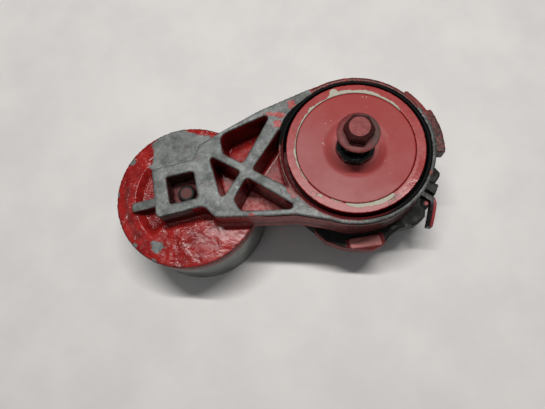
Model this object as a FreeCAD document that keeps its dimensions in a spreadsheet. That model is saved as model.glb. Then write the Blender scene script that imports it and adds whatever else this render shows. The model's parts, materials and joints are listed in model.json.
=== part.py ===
import FreeCAD, Part
import Sketcher
import math
import os

from FreeCAD import Placement, Rotation, Vector

# Sprung belt tensioner with a flat idler pulley, in millimetres.
# The arm's pivot axis is Z, the mounting face is the plane Z = 0 and the
# pulley stands on the -X side.  Lengths that end in _level are heights above
# the mounting face.

DIMENSIONS = {
    # arm and pivot
    "pivot_to_pulley": 120.7,
    "arm_top_level": 74.0,
    "arm_bottom_level": 46.0,
    "ring_radius": 53.4,
    "ring_bore_radius": 50.2,
    "thin_wall_radius": 52.0,
    "web_top_level": 61.0,
    "web_bottom_level": 57.0,
    "arm_cavity_radius": 47.0,
    "hub_radius": 19.0,
    "hub_bore_radius": 14.6,
    "hub_bottom_level": 12.0,
    "pocket_depth": 24.0,
    "pocket_draft": 3.0,
    "socket_width": 19.3,
    "boss_floor_level": 58.0,
    "guard_radius": 52.35,
    "guard_top_level": 56.0,
    "guard_recess_radius": 38.4,
    "guard_recess_level": 51.5,
    "recess_draft": 48.0,
    "rib_top_level": 61.0,
    "wing_bottom_level": 59.5,
    "wing_top_level": 70.5,
    "bolt_thread_radius": 6.0,
    "countersink_radius": 6.8,
    "stop_tab_bottom_level": 40.4,
    # spring housing
    "housing_radius": 51.0,
    "housing_top_level": 45.4,
    "housing_chamber_radius": 46.0,
    "housing_floor_level": 8.0,
    "housing_boss_radius": 20.0,
    "housing_boss_level": 11.0,
    "face_relief_depth": 2.0,
    "face_relief_inner_radius": 20.0,
    "face_relief_outer_radius": 40.0,
    "ear_top_level": 42.0,
    "ear_bottom_level": 30.0,
    "block_top_level": 44.6,
    "lug_top_level": 44.0,
    "lug_bottom_level": 27.0,
    "ear_column_radius": 6.6,
    "dowel_radius": 4.05,
    "dowel_depth": 14.0,
    "stop_slot_level": 40.0,
    # pivot tube, bushing and washers
    "tube_radius": 12.5,
    "tube_bore_radius": 7.6,
    "tube_bottom_level": 0.3,
    "tube_head_level": 73.6,
    "tube_head_top_level": 79.6,
    "tube_head_flats": 25.0,
    "tube_top_share": 0.88,
    "tube_recess_radius": 10.0,
    "tube_recess_level": 76.3,
    "running_clearance": 0.05,
    "bushing_flange_radius": 22.0,
    "bushing_flange_level": 62.5,
    "bushing_bottom_level": 12.4,
    "thrust_washer_bottom_level": 11.1,
    "thrust_washer_top_level": 11.9,
    # front plate, friction ring, cone spring and seal
    "plate_radius": 39.8,
    "plate_bottom_level": 72.6,
    "plate_top_level": 75.6,
    "plate_dish_radius": 14.5,
    "plate_cone_radius": 18.5,
    "plate_dish_depth": 2.0,
    "plate_bore_radius": 12.6,
    "friction_ring_radius": 46.5,
    "friction_ring_step_radius": 40.1,
    "friction_ring_inner_radius": 28.0,
    "friction_ring_flange_level": 64.5,
    "friction_ring_bottom_level": 61.1,
    "cone_spring_outer_radius": 36.5,
    "cone_spring_inner_radius": 24.0,
    "cone_spring_low_level": 64.7,
    "cone_spring_high_level": 70.9,
    "cone_spring_thickness": 1.4,
    "seal_inner_radius": 48.9,
    "seal_bottom_level": 61.4,
    "seal_top_level": 73.6,
    # torsion spring
    "spring_radius": 36.0,
    "spring_wire_width": 4.6,
    "spring_wire_height": 7.2,
    "spring_start_level": 16.0,
    "spring_end_level": 40.4,
    "spring_bend_radius": 8.0,
    "tang_bend_radius": 5.0,
    # pulley
    "pulley_radius": 51.2,
    "pulley_top_level": 45.4,
    "rim_thickness": 3.0,
    "pulley_web_bottom_level": 20.0,
    "pulley_web_top_level": 23.5,
    "pulley_hub_radius": 29.5,
    "pulley_hub_bottom_level": 13.6,
    "pulley_hub_top_level": 36.0,
    "pulley_lip_radius": 23.5,
    "snap_groove_bottom_level": 31.1,
    "snap_groove_top_level": 33.0,
    "snap_groove_radius": 27.2,
    "snap_ring_inner_radius": 23.8,
    "snap_ring_radius": 27.0,
    "snap_ring_bottom_level": 31.3,
    "snap_ring_thickness": 1.5,
    "cover_radius": 48.2,
    "cover_bore_radius": 14.5,
    "cover_bottom_level": 38.0,
    "cover_top_level": 39.6,
    # bearing
    "bearing_bore_radius": 10.0,
    "bearing_outer_radius": 26.0,
    "bearing_bottom_level": 16.0,
    "bearing_top_level": 31.0,
    "inner_shoulder_radius": 15.0,
    "outer_shoulder_radius": 21.5,
    "ball_circle_radius": 18.25,
    "ball_radius": 4.76,
    "ball_clearance": 0.3,
    "cage_inner_radius": 16.9,
    "cage_outer_radius": 19.6,
    "cage_bottom_level": 17.8,
    "cage_top_level": 29.2,
    "ball_room_clearance": 0.15,
    "bearing_seal_inner_radius": 15.35,
    "bearing_seal_outer_radius": 21.45,
    "bearing_seal_thickness": 1.0,
    "bearing_seal_inset": 0.3,
    # pulley bolt, spacer and shield
    "spacer_sleeve_radius": 9.97,
    "spacer_bore_radius": 6.3,
    "spacer_flange_radius": 14.0,
    "spacer_bottom_level": 16.0,
    "shield_radius": 23.1,
    "shield_bottom_level": 13.8,
    "shield_rim_level": 15.4,
    "shield_hub_radius": 14.6,
    "pulley_bolt_flange_radius": 12.0,
    "pulley_bolt_flange_level": 12.0,
    "pulley_bolt_flats": 18.0,
    "pulley_bolt_hex_level": 5.0,
    "pulley_bolt_end_level": 61.0,
    "bolt_end_radius": 5.2,
    # mounting bolt and its retainer
    "mounting_bolt_radius": 6.0,
    "mounting_bolt_flats": 17.0,
    "mounting_bolt_flange_radius": 13.7,
    "mounting_bolt_flange_level": 96.0,
    "mounting_bolt_flange_top_level": 97.2,
    "mounting_bolt_cone_level": 98.0,
    "mounting_bolt_top_level": 105.7,
    "mounting_bolt_tip_level": 0.1,
    "bolt_chamfer": 1.2,
    "bolt_top_share": 0.77,
    "retainer_radius": 7.3,
    "retainer_bore_radius": 6.06,
    "retainer_bottom_level": 60.0,
    "retainer_top_level": 72.0,
}

# Outlines seen from above.  Each corner is (x, y, rounding radius).
TRUSS = [(-110.0, -16.5, 0), (-107.0, -18.0, 2), (-102.0, -26.0, 4), (-90.0, -28.6, 6),
         (-60.0, -34.6, 20), (-50.0, -36.2, 9), (-30.0, -44.6, 12), (-8.0, -52.3, 0),
         (-8.0, 52.3, 0), (-22.0, 50.6, 30), (-58.0, 43.4, 60), (-90.0, 33.2, 12),
         (-104.0, 28.0, 3), (-110.0, 18.5, 3)]
BOSS = [(-141.0, -17.2, 3), (-106.0, -16.5, 0), (-106.0, 18.5, 0), (-139.4, 18.0, 3)]
POCKETS = {
    "upper": [(-88.6, 17.5, 4), (-88.4, 31.6, 6), (-49.3, 40.0, 2.2), (-76.6, 7.0, 2.2)],
    "left": [(-98.6, 18.6, 1.6), (-79.2, 1.9, 1.8), (-95.6, -15.0, 1.8)],
    "lower": [(-76.2, -3.0, 2.5), (-87.4, -16.6, 3), (-84.6, -25.6, 5), (-45.4, -33.2, 2.2)],
    "right": [(-71.2, 1.4, 1.8), (-43.0, 30.0, 0), (-43.0, -23.0, 0)],
}
RIB = [(-161.0, -5.0, 1.5), (-138.0, -4.6, 0), (-138.0, 2.2, 0), (-160.5, 1.6, 1.5)]
EAR = [(-36.0, -30.0, 0), (-38.3, -43.0, 3), (-32.5, -52.0, 5), (-23.0, -58.4, 8),
       (-13.0, -62.5, 10), (-2.0, -65.2, 8), (5.6, -64.0, 3), (13.0, -57.6, 4),
       (21.0, -54.6, 8), (33.0, -54.4, 4), (40.0, -50.6, 3), (41.5, -45.6, 1),
       (45.6, -43.6, 1.5), (44.6, -37.0, 1.5), (36.0, -30.0, 0)]
STOP_BLOCK = [(-16.8, -54.4, 1.2), (5.0, -55.8, 1.2), (5.6, -63.6, 1.2), (-16.8, -61.6, 1.2)]
BUMP = [(46.0, -12.5, 0), (56.5, -13.5, 2), (60.2, -21.8, 1.5), (58.6, -24.6, 1),
        (53.5, -29.0, 1), (42.0, -24.0, 0)]
HOOK_BLOCK = [(42.0, -22.0, 0), (53.2, -28.8, 0.6), (56.0, -30.2, 0.8), (50.8, -37.6, 0.8),
              (48.2, -34.2, 0.6), (38.0, -25.0, 0)]

PULLEY_CENTRE = (-DIMENSIONS["pivot_to_pulley"], 0.0)
EAR_COLUMN = (-6.0, -51.8)
KNOB = (42.9, -41.4, 2.5)
TANG_CORNER = (49.0, -40.5)
TANG_END = (42.2, -57.3)
SPRING_TURNS = 3.1
BALL_COUNT = 7
SPRING_LEG_START = 14.0
LEG_OVERLAP = 0.2
SLOT_SIDE_CLEARANCE = 0.4
SLOT_FLOOR_CLEARANCE = 0.4
TANG_SLOT_LENGTH = 40.0
HOOK_ROOM_LENGTH = 20.0
BREAK_OUT = 1.0
HEAD_CHAMFER_SLOPE = 60.0
HEXAGON = 6
TUBE_HEAD_SIDES = 8
TUBE_HEAD_TURN = -2.0
BOLT_HEAD_TURN = 38.0
SNAP_RING_GAP = (20.0, 10.0, 9.0)
WING_ARC = (-16.0, 16.0, 60.2)
WING_PAD_ARC = (14.0, 37.0, 57.6)
RECESS_ARC = (132.0, 220.0)
STOP_TAB_ARC = (100.0, 112.0, 46.6, 50.4)
ARM_TRAVEL = 45.0
STOP_CLEARANCE = 0.5
FRICTION_RING_SPLIT = ((9.6, -45.8), (17.6, -36.2), 0.4)
SPLIT_LEAD = 6.0
SPLIT_LENGTH = 40.0

doc = FreeCAD.newDocument("belt_tensioner")
sheet = doc.addObject("Spreadsheet::Sheet", "Dimensions")
nodes = {}


def fill_sheet():
    """One row per dimension: its name, and its value under that alias."""
    for row, (alias, value) in enumerate(DIMENSIONS.items(), start=1):
        sheet.set("A%d" % row, alias)
        sheet.set("B%d" % row, str(value))
        sheet.setAlias("B%d" % row, alias)
    doc.recompute()


def size(alias):
    """Value of one cell of the sheet."""
    return float(sheet.get(alias))


def value_of(formula):
    """Value of a sum of cells, such as 'pulley_radius - rim_thickness'."""
    words = formula.split()
    total = size(words[0])
    for sign, alias in zip(words[1::2], words[2::2]):
        total += size(alias) if sign == "+" else -size(alias)
    return total


def bound(formula):
    """The same sum as an expression that reads the sheet."""
    return " ".join(w if w in "+-" else "Dimensions." + w for w in formula.split())


def rise(bottom, top):
    """Formula of the height between two levels."""
    turned_round = {"+": "-", "-": "+"}
    return top + " - " + " ".join(turned_round.get(w, w) for w in bottom.split())


def keep(name, feature):
    """Registers a finished piece under the name of its file."""
    feature.Label = name
    nodes[name] = feature
    return feature


# ---- Part primitives bound to the sheet -------------------------------------

def cylinder(name, radius, bottom, top, centre=(0.0, 0.0)):
    part = doc.addObject("Part::Cylinder", name)
    part.setExpression("Radius", bound(radius))
    part.setExpression("Height", bound(rise(bottom, top)))
    part.Placement = Placement(Vector(centre[0], centre[1], 0), Rotation())
    part.setExpression("Placement.Base.z", bound(bottom))
    return part


def cone(name, low_radius, high_radius, bottom, top, centre=(0.0, 0.0)):
    part = doc.addObject("Part::Cone", name)
    part.setExpression("Radius1", bound(low_radius))
    part.setExpression("Radius2", bound(high_radius))
    part.setExpression("Height", bound(rise(bottom, top)))
    part.Placement = Placement(Vector(centre[0], centre[1], 0), Rotation())
    part.setExpression("Placement.Base.z", bound(bottom))
    return part


def prism(name, sides, flats, bottom, top, centre=(0.0, 0.0), turn=0.0):
    """Upright prism with an even number of sides, measured across its flats."""
    part = doc.addObject("Part::Prism", name)
    part.Polygon = sides
    part.setExpression("Circumradius", "%s / (2 * cos(180 deg / %d))" % (bound(flats), sides))
    part.setExpression("Height", bound(rise(bottom, top)))
    part.Placement = Placement(Vector(centre[0], centre[1], 0), Rotation(Vector(0, 0, 1), turn))
    part.setExpression("Placement.Base.z", bound(bottom))
    return part


def cut(name, base, *tools):
    for index, tool in enumerate(tools):
        result = doc.addObject("Part::Cut", "%s_cut_%d" % (name, index))
        result.Base = base
        result.Tool = tool
        base = result
    return base


def fuse(name, *shapes):
    result = doc.addObject("Part::MultiFuse", name)
    result.Shapes = list(shapes)
    return result


def common(name, *shapes):
    result = doc.addObject("Part::MultiCommon", name)
    result.Shapes = list(shapes)
    return result


def tube(name, outer, inner, bottom, top, centre=(0.0, 0.0)):
    """A plain ring."""
    return cut(name, cylinder(name + "_outside", outer, bottom, top, centre),
               cylinder(name + "_bore", inner, bottom, top, centre))


# ---- PartDesign helpers -------------------------------------------------------

def new_body(name):
    body = doc.addObject("PartDesign::Body", name)
    body.Label = name
    return body


def origin_plane(body, role):
    return next(f for f in body.Origin.OriginFeatures if f.Role == role)


def level_sketch(body, name, level=None):
    """A sketch parallel to the mounting face, at the height of a level cell."""
    sketch = body.newObject("Sketcher::SketchObject", name)
    sketch.AttachmentSupport = [(origin_plane(body, "XY_Plane"), "")]
    sketch.MapMode = "FlatFace"
    if level:
        sketch.setExpression("AttachmentOffset.Base.z", bound(level))
    return sketch


def add_outline(sketch, corners):
    """A closed outline of straight sides whose corners are rounded by tangent arcs."""
    joints = []
    count = len(corners)
    for i, (x, y, radius) in enumerate(corners):
        here = Vector(x, y, 0)
        before = Vector(*corners[i - 1][:2], 0) - here
        after = Vector(*corners[(i + 1) % count][:2], 0) - here
        before.normalize()
        after.normalize()
        if radius == 0:
            joints.append((here, here, None))
            continue
        half = before.getAngle(after) / 2
        reach = radius / math.tan(half)
        middle = before + after
        middle.normalize()
        centre = here + middle * (radius / math.sin(half))
        joints.append((here + before * reach, here + after * reach, centre))
    for i, (start, end, centre) in enumerate(joints):
        if centre is not None:
            add_arc(sketch, centre, start, end)
        following = joints[(i + 1) % count][0]
        sketch.addGeometry(Part.LineSegment(end, following), False)


def add_arc(sketch, centre, start, end):
    """The shorter arc from start to end."""
    first = math.atan2(start.y - centre.y, start.x - centre.x)
    last = math.atan2(end.y - centre.y, end.x - centre.x)
    if (last - first) % (2 * math.pi) > math.pi:
        first, last = last, first
    circle = Part.Circle(centre, Vector(0, 0, 1), (start - centre).Length)
    sketch.addGeometry(Part.ArcOfCircle(circle, first, last), False)


def add_sector(sketch, first_degrees, last_degrees, inner, outer, centre=(0.0, 0.0)):
    """Part of a ring between two directions."""
    first, last = math.radians(first_degrees), math.radians(last_degrees)
    middle = Vector(centre[0], centre[1], 0)
    near = [middle + Vector(math.cos(a), math.sin(a), 0) * inner for a in (first, last)]
    far = [middle + Vector(math.cos(a), math.sin(a), 0) * outer for a in (first, last)]
    for radius in (inner, outer):
        circle = Part.Circle(middle, Vector(0, 0, 1), radius)
        sketch.addGeometry(Part.ArcOfCircle(circle, first, last), False)
    for a, b in zip(near, far):
        sketch.addGeometry(Part.LineSegment(a, b), False)


def add_circle(sketch, radius, centre=None):
    """A circle whose radius is bound to a cell, on the origin unless centre is given."""
    x, y = centre or (0.0, 0.0)
    circle = Part.Circle(Vector(x, y, 0), Vector(0, 0, 1), value_of(radius))
    index = sketch.addGeometry(circle, False)
    limit = sketch.addConstraint(Sketcher.Constraint("Radius", index, value_of(radius)))
    sketch.setExpression("Constraints[%d]" % limit, bound(radius))
    if centre is None:
        sketch.addConstraint(Sketcher.Constraint("Coincident", index, 3, -1, 1))


def pad(body, sketch, bottom, top):
    feature = body.newObject("PartDesign::Pad", sketch.Name + "_pad")
    feature.Profile = sketch
    feature.setExpression("Length", bound(rise(bottom, top)) if bottom else bound(top))
    doc.recompute()
    return feature


def pocket(body, sketch, depth, draft=None, upwards=False):
    """Cuts down from the sketch, or up from it, and makes sure that metal went away."""
    before = body.Shape.Volume
    feature = body.newObject("PartDesign::Pocket", sketch.Name + "_pocket")
    feature.Profile = sketch
    feature.setExpression("Length", bound(depth))
    feature.Reversed = upwards
    if draft:
        feature.setExpression("TaperAngle", "-1 * " + bound(draft))
    doc.recompute()
    if body.Shape.Volume >= before - 1:
        raise RuntimeError("%s cuts nothing" % feature.Name)
    return feature


def turned(name, profile, off_centre=False):
    """A turned piece: profile is its half section as (radius, level) formulas."""
    body = new_body(name)
    sketch = body.newObject("Sketcher::SketchObject", name + "_profile")
    sketch.AttachmentSupport = [(origin_plane(body, "XZ_Plane"), "")]
    sketch.MapMode = "FlatFace"
    points = [Vector(value_of(r), 0 if z == "face" else value_of(z), 0) for r, z in profile]
    count = len(points)
    for i in range(count):
        sketch.addGeometry(Part.LineSegment(points[i], points[(i + 1) % count]), False)
    for i, (radius, level) in enumerate(profile):
        sketch.addConstraint(Sketcher.Constraint("Coincident", i, 1, (i - 1) % count, 2))
        outwards = sketch.addConstraint(
            Sketcher.Constraint("DistanceX", -1, 1, i, 1, points[i].x))
        sketch.setExpression("Constraints[%d]" % outwards, bound(radius))
        if level == "face":
            sketch.addConstraint(Sketcher.Constraint("PointOnObject", i, 1, -1))
        else:
            up = sketch.addConstraint(
                Sketcher.Constraint("DistanceY", -1, 1, i, 1, points[i].y))
            sketch.setExpression("Constraints[%d]" % up, bound(level))
    turning = body.newObject("PartDesign::Revolution", name + "_turning")
    turning.Profile = sketch
    turning.ReferenceAxis = (sketch, ["V_Axis"])
    turning.Angle = 360
    if off_centre:
        body.setExpression("Placement.Base.x", "-1 * Dimensions.pivot_to_pulley")
    doc.recompute()
    return keep(name, body)


def screw_head(name, sides, flats, share, bottom, top, turn):
    """Prism under a cone; share is the width of its flat top over its flats."""
    blank = prism(name + "_prism", sides, flats, bottom, top, turn=turn)
    chamfer = doc.addObject("Part::Cone", name + "_chamfer")
    height = value_of(rise(bottom, top))
    top_radius = size(flats) / 2 * size(share)
    chamfer.setExpression("Radius2", "%s / 2 * %s" % (bound(flats), bound(share)))
    chamfer.Radius1 = top_radius + height * math.tan(math.radians(HEAD_CHAMFER_SLOPE))
    chamfer.Height = height
    chamfer.Placement = Placement(Vector(0, 0, value_of(bottom)), Rotation())
    return common(name, blank, chamfer)


# ---- the tensioner arm ----------------------------------------------------------

def build_arm():
    """One aluminium casting: ring, truss, boss, pulley guard, hub and stop lugs."""
    body = new_body("tension_arm")
    bottom, top = "arm_bottom_level", "arm_top_level"

    truss = level_sketch(body, "truss", bottom)
    add_outline(truss, TRUSS)
    pad(body, truss, bottom, top)

    ring = level_sketch(body, "arm_ring", bottom)
    add_circle(ring, "ring_radius")
    pad(body, ring, bottom, top)

    guard = level_sketch(body, "pulley_guard", bottom)
    add_circle(guard, "guard_radius", PULLEY_CENTRE)
    pad(body, guard, bottom, "guard_top_level")

    recess = level_sketch(body, "guard_recess", "guard_top_level")
    add_sector(recess, *RECESS_ARC, size("bolt_thread_radius"),
               size("guard_recess_radius"), PULLEY_CENTRE)
    pocket(body, recess, "guard_top_level - guard_recess_level", draft="recess_draft")

    boss = level_sketch(body, "pulley_boss", bottom)
    add_outline(boss, BOSS)
    pad(body, boss, bottom, top)

    rib = level_sketch(body, "guard_rib", bottom)
    add_outline(rib, RIB)
    pad(body, rib, bottom, "rib_top_level")

    for name, (first, last, reach) in {"wing": WING_ARC, "wing_pad": WING_PAD_ARC}.items():
        wing = level_sketch(body, name, "wing_bottom_level")
        add_sector(wing, first, last, size("ring_bore_radius"), reach)
        pad(body, wing, "wing_bottom_level", "wing_top_level")

    for name, corners in POCKETS.items():
        hollow = level_sketch(body, name + "_pocket", top)
        add_outline(hollow, corners)
        pocket(body, hollow, "pocket_depth", draft="pocket_draft")

    thin_wall = level_sketch(body, "ring_wall", bottom)
    add_circle(thin_wall, "thin_wall_radius")
    pad(body, thin_wall, bottom, top)

    bore = level_sketch(body, "ring_bore", top)
    add_circle(bore, "ring_bore_radius")
    pocket(body, bore, "arm_top_level - web_top_level")

    cavity = level_sketch(body, "spring_cavity", bottom)
    add_circle(cavity, "arm_cavity_radius")
    pocket(body, cavity, "web_bottom_level - arm_bottom_level", upwards=True)

    hub = level_sketch(body, "hub", "hub_bottom_level")
    add_circle(hub, "hub_radius")
    pad(body, hub, "hub_bottom_level", "web_top_level")

    hub_bore = level_sketch(body, "hub_bore", "web_top_level")
    add_circle(hub_bore, "hub_bore_radius")
    pocket(body, hub_bore, "web_top_level - hub_bottom_level")

    tab = level_sketch(body, "stop_tab", "stop_tab_bottom_level")
    add_sector(tab, *STOP_TAB_ARC)
    pad(body, tab, "stop_tab_bottom_level", "web_bottom_level")

    socket = level_sketch(body, "wrench_socket", top)
    half = size("socket_width") / 2
    x = PULLEY_CENTRE[0]
    add_outline(socket, [(x - half, -half, 0.8), (x + half, -half, 0.8),
                         (x + half, half, 0.8), (x - half, half, 0.8)])
    pocket(body, socket, "arm_top_level - boss_floor_level")

    thread = level_sketch(body, "bolt_hole", "boss_floor_level")
    add_circle(thread, "bolt_thread_radius", PULLEY_CENTRE)
    pocket(body, thread, "boss_floor_level - arm_bottom_level")

    body.Tip = cut_countersink(body)
    slotted = cut("tension_arm", body, spring_slot_tool())
    return keep("tension_arm", slotted)


def cut_countersink(body):
    """Widens the mouth of the bolt hole on the socket floor."""
    countersink = level_sketch(body, "countersink", "boss_floor_level")
    add_circle(countersink, "countersink_radius", PULLEY_CENTRE)
    return pocket(body, countersink, "bolt_chamfer")


def box_along(name, start, direction, length, width, low, high):
    """A box whose long side starts at a point of the plan and follows a direction."""
    box = doc.addObject("Part::Box", name)
    box.Length = length
    box.Width = width
    box.Height = high - low
    turn = math.degrees(math.atan2(direction.y, direction.x))
    side = Vector(-direction.y, direction.x, 0)
    corner = start - side * (width / 2)
    box.Placement = Placement(Vector(corner.x, corner.y, low), Rotation(Vector(0, 0, 1), turn))
    return box


# ---- the torsion spring -----------------------------------------------------------

def spring_angles():
    """Directions, in radians, of the coil's two ends: the arm's end and the housing's."""
    corner = Vector(*TANG_CORNER, 0)
    reach = math.asin(size("spring_bend_radius") / corner.Length)
    end = math.atan2(corner.y, corner.x) - reach
    return end - SPRING_TURNS * 2 * math.pi, end


def radial(angle):
    return Vector(math.cos(angle), math.sin(angle), 0)


def across(angle):
    return Vector(-math.sin(angle), math.cos(angle), 0)


def spring_slot_tool():
    """Slot in the foot of the hub for the spring's inner end."""
    start, _ = spring_angles()
    bend = size("spring_bend_radius")
    first = radial(start) * (SPRING_LEG_START - 2 * BREAK_OUT) - across(start) * bend
    high = size("spring_start_level") + size("spring_wire_height") / 2 + SLOT_FLOOR_CLEARANCE
    return box_along("hub_slot", first, radial(start), SPRING_LEG_START,
                     size("spring_wire_width") + 2 * SLOT_SIDE_CLEARANCE,
                     size("hub_bottom_level") - BREAK_OUT, high)


def wire_section(point, direction):
    """Rectangle of the spring wire, square to direction, which lies in the plan."""
    width, height = size("spring_wire_width"), size("spring_wire_height")
    side = Vector(-direction.y, direction.x, 0).normalize() * (width / 2)
    lift = Vector(0, 0, height / 2)
    corners = [point - side - lift, point + side - lift, point + side + lift,
               point - side + lift, point - side - lift]
    return Part.makePolygon(corners)


def swept(path, direction):
    """Wire section carried along a path without tipping."""
    start = path.OrderedVertexes[0].Point
    shell = Part.BRepOffsetAPI.MakePipeShell(path)
    shell.setBiNormalMode(Vector(0, 0, 1))
    shell.setTransitionMode(1)
    shell.add(wire_section(start, direction))
    shell.build()
    shell.makeSolid()
    return shell.shape()


def flat_path(points_and_bends):
    """Straight legs joined by tangent arcs; each inner point is (point, bend radius)."""
    edges = []
    last = points_and_bends[0][0]
    for i in range(1, len(points_and_bends) - 1):
        corner, radius = points_and_bends[i]
        before = (points_and_bends[i - 1][0] - corner).normalize()
        after = (points_and_bends[i + 1][0] - corner).normalize()
        half = before.getAngle(after) / 2
        reach = radius / math.tan(half)
        start, end = corner + before * reach, corner + after * reach
        middle = (before + after).normalize()
        crest = corner + middle * (radius / math.sin(half) - radius)
        edges.append(Part.makeLine(last, start))
        edges.append(Part.Arc(start, crest, end).toShape())
        last = end
    edges.append(Part.makeLine(last, points_and_bends[-1][0]))
    return Part.Wire(edges)


def build_spring():
    """Coil between the hub's slot and the housing's slot, with both ends bent off."""
    start, end = spring_angles()
    radius = size("spring_radius")
    bend = size("spring_bend_radius")
    low, high = size("spring_start_level"), size("spring_end_level")

    helix = Part.makeHelix((high - low) / SPRING_TURNS, high - low, radius)
    helix.rotate(Vector(0, 0, 0), Vector(0, 0, 1), math.degrees(start))
    helix.translate(Vector(0, 0, low))
    coil = swept(Part.Wire(helix.Edges), across(start))

    floor = Vector(0, 0, low)
    inner_corner = radial(start) * radius - across(start) * bend + floor
    inner = flat_path([(radial(start) * SPRING_LEG_START - across(start) * bend + floor, 0),
                       (inner_corner, bend - LEG_OVERLAP / 2),
                       (radial(start) * radius + across(start) * LEG_OVERLAP + floor, 0)])
    inner_leg = swept(inner, radial(start))

    roof = Vector(0, 0, high)
    first_corner = radial(end) * radius + across(end) * bend + roof
    outer = flat_path([(radial(end) * radius - across(end) * LEG_OVERLAP + roof, 0),
                       (first_corner, bend - LEG_OVERLAP / 2),
                       (Vector(*TANG_CORNER, 0) + roof, size("tang_bend_radius")),
                       (Vector(*TANG_END, 0) + roof, 0)])
    outer_leg = swept(outer, across(end))

    spring = doc.addObject("Part::Feature", "torsion_spring")
    spring.Shape = coil.fuse([inner_leg, outer_leg]).removeSplitter()
    spring.Placement = Placement()
    return keep("torsion_spring", spring)


# ---- the spring housing --------------------------------------------------------------

def build_housing():
    """Cast cup with the mounting face, an ear with its dowel hole, and the hook lugs."""
    body = new_body("spring_housing")
    top = "housing_top_level"

    cup = level_sketch(body, "cup")
    add_circle(cup, "housing_radius")
    pad(body, cup, None, top)

    for name, corners, bottom, roof in (
            ("ear", EAR, "ear_bottom_level", "ear_top_level"),
            ("ear_block", STOP_BLOCK, "ear_bottom_level", "block_top_level"),
            ("bump", BUMP, "lug_bottom_level", "ear_top_level"),
            ("hook_block", HOOK_BLOCK, "lug_bottom_level", "lug_top_level")):
        sketch = level_sketch(body, name, bottom)
        add_outline(sketch, corners)
        pad(body, sketch, bottom, roof)

    column = level_sketch(body, "ear_column")
    add_circle(column, "ear_column_radius", EAR_COLUMN)
    pad(body, column, None, "ear_top_level")

    chamber = level_sketch(body, "chamber", top)
    add_circle(chamber, "housing_chamber_radius")
    pocket(body, chamber, "housing_top_level - housing_floor_level")

    boss = level_sketch(body, "tube_boss", "housing_floor_level")
    add_circle(boss, "housing_boss_radius")
    pad(body, boss, "housing_floor_level", "housing_boss_level")

    relief = level_sketch(body, "face_relief")
    add_circle(relief, "face_relief_outer_radius")
    add_circle(relief, "face_relief_inner_radius")
    pocket(body, relief, "face_relief_depth", upwards=True)

    tube_hole = level_sketch(body, "tube_hole", "housing_boss_level")
    add_circle(tube_hole, "tube_radius")
    pocket(body, tube_hole, "housing_boss_level")

    dowel = level_sketch(body, "dowel_hole")
    add_circle(dowel, "dowel_radius", EAR_COLUMN)
    pocket(body, dowel, "dowel_depth", upwards=True)

    travel = level_sketch(body, "stop_travel", top)
    slack = math.degrees(STOP_CLEARANCE / size("housing_chamber_radius"))
    first, last = STOP_TAB_ARC[0] - slack, STOP_TAB_ARC[1] + ARM_TRAVEL + slack
    add_sector(travel, first, last, size("housing_chamber_radius") - BREAK_OUT,
               size("housing_radius") + BREAK_OUT)
    body.Tip = pocket(body, travel, "housing_top_level - stop_slot_level")

    _, end = spring_angles()
    low = size("spring_end_level") - size("spring_wire_height") / 2 - SLOT_FLOOR_CLEARANCE
    high = size("housing_top_level") + BREAK_OUT
    width = size("spring_wire_width") + 2 * SLOT_SIDE_CLEARANCE
    start = radial(end) * size("spring_radius") + across(end) * size("spring_bend_radius")
    slot = box_along("tang_slot", start, radial(end), TANG_SLOT_LENGTH, width, low, high)
    hook_room = box_along("hook_room", Vector(*TANG_CORNER, 0),
                          (Vector(*TANG_END, 0) - Vector(*TANG_CORNER, 0)).normalize(),
                          HOOK_ROOM_LENGTH, width, low, high)
    knob = doc.addObject("Part::Cylinder", "hook_knob")
    knob.Radius = KNOB[2]
    knob.Placement = Placement(Vector(KNOB[0], KNOB[1], size("ear_bottom_level") + BREAK_OUT),
                               Rotation())
    knob.setExpression("Height", bound("ear_top_level - ear_bottom_level"))
    knobbed = fuse("knobbed_housing", body, knob)
    return keep("spring_housing", cut("spring_housing", knobbed, slot, hook_room))


# ---- pivot, friction ring and seal ------------------------------------------------------

def build_pivot():
    """Hollow pivot tube with an octagonal head, its bushing and the thrust washer."""
    shaft = cylinder("tube_shaft", "tube_radius", "tube_bottom_level", "tube_head_level")
    head = screw_head("tube_head", TUBE_HEAD_SIDES, "tube_head_flats", "tube_top_share",
                      "tube_head_level", "tube_head_top_level", TUBE_HEAD_TURN)
    bore = cylinder("tube_bore", "tube_bore_radius", "tube_bottom_level", "tube_head_top_level")
    recess = cone("tube_recess", "tube_bore_radius", "tube_recess_radius",
                  "tube_recess_level", "tube_head_top_level")
    keep("pivot_tube", cut("pivot_tube", fuse("tube_blank", shaft, head), bore, recess))

    inner = "tube_radius + running_clearance"
    turned("pivot_bushing", [
        (inner, "bushing_bottom_level"), ("hub_bore_radius", "bushing_bottom_level"),
        ("hub_bore_radius", "web_top_level"), ("bushing_flange_radius", "web_top_level"),
        ("bushing_flange_radius", "bushing_flange_level"), (inner, "bushing_flange_level")])
    keep("thrust_washer", tube("thrust_washer", "hub_radius", inner,
                               "thrust_washer_bottom_level", "thrust_washer_top_level"))


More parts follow.
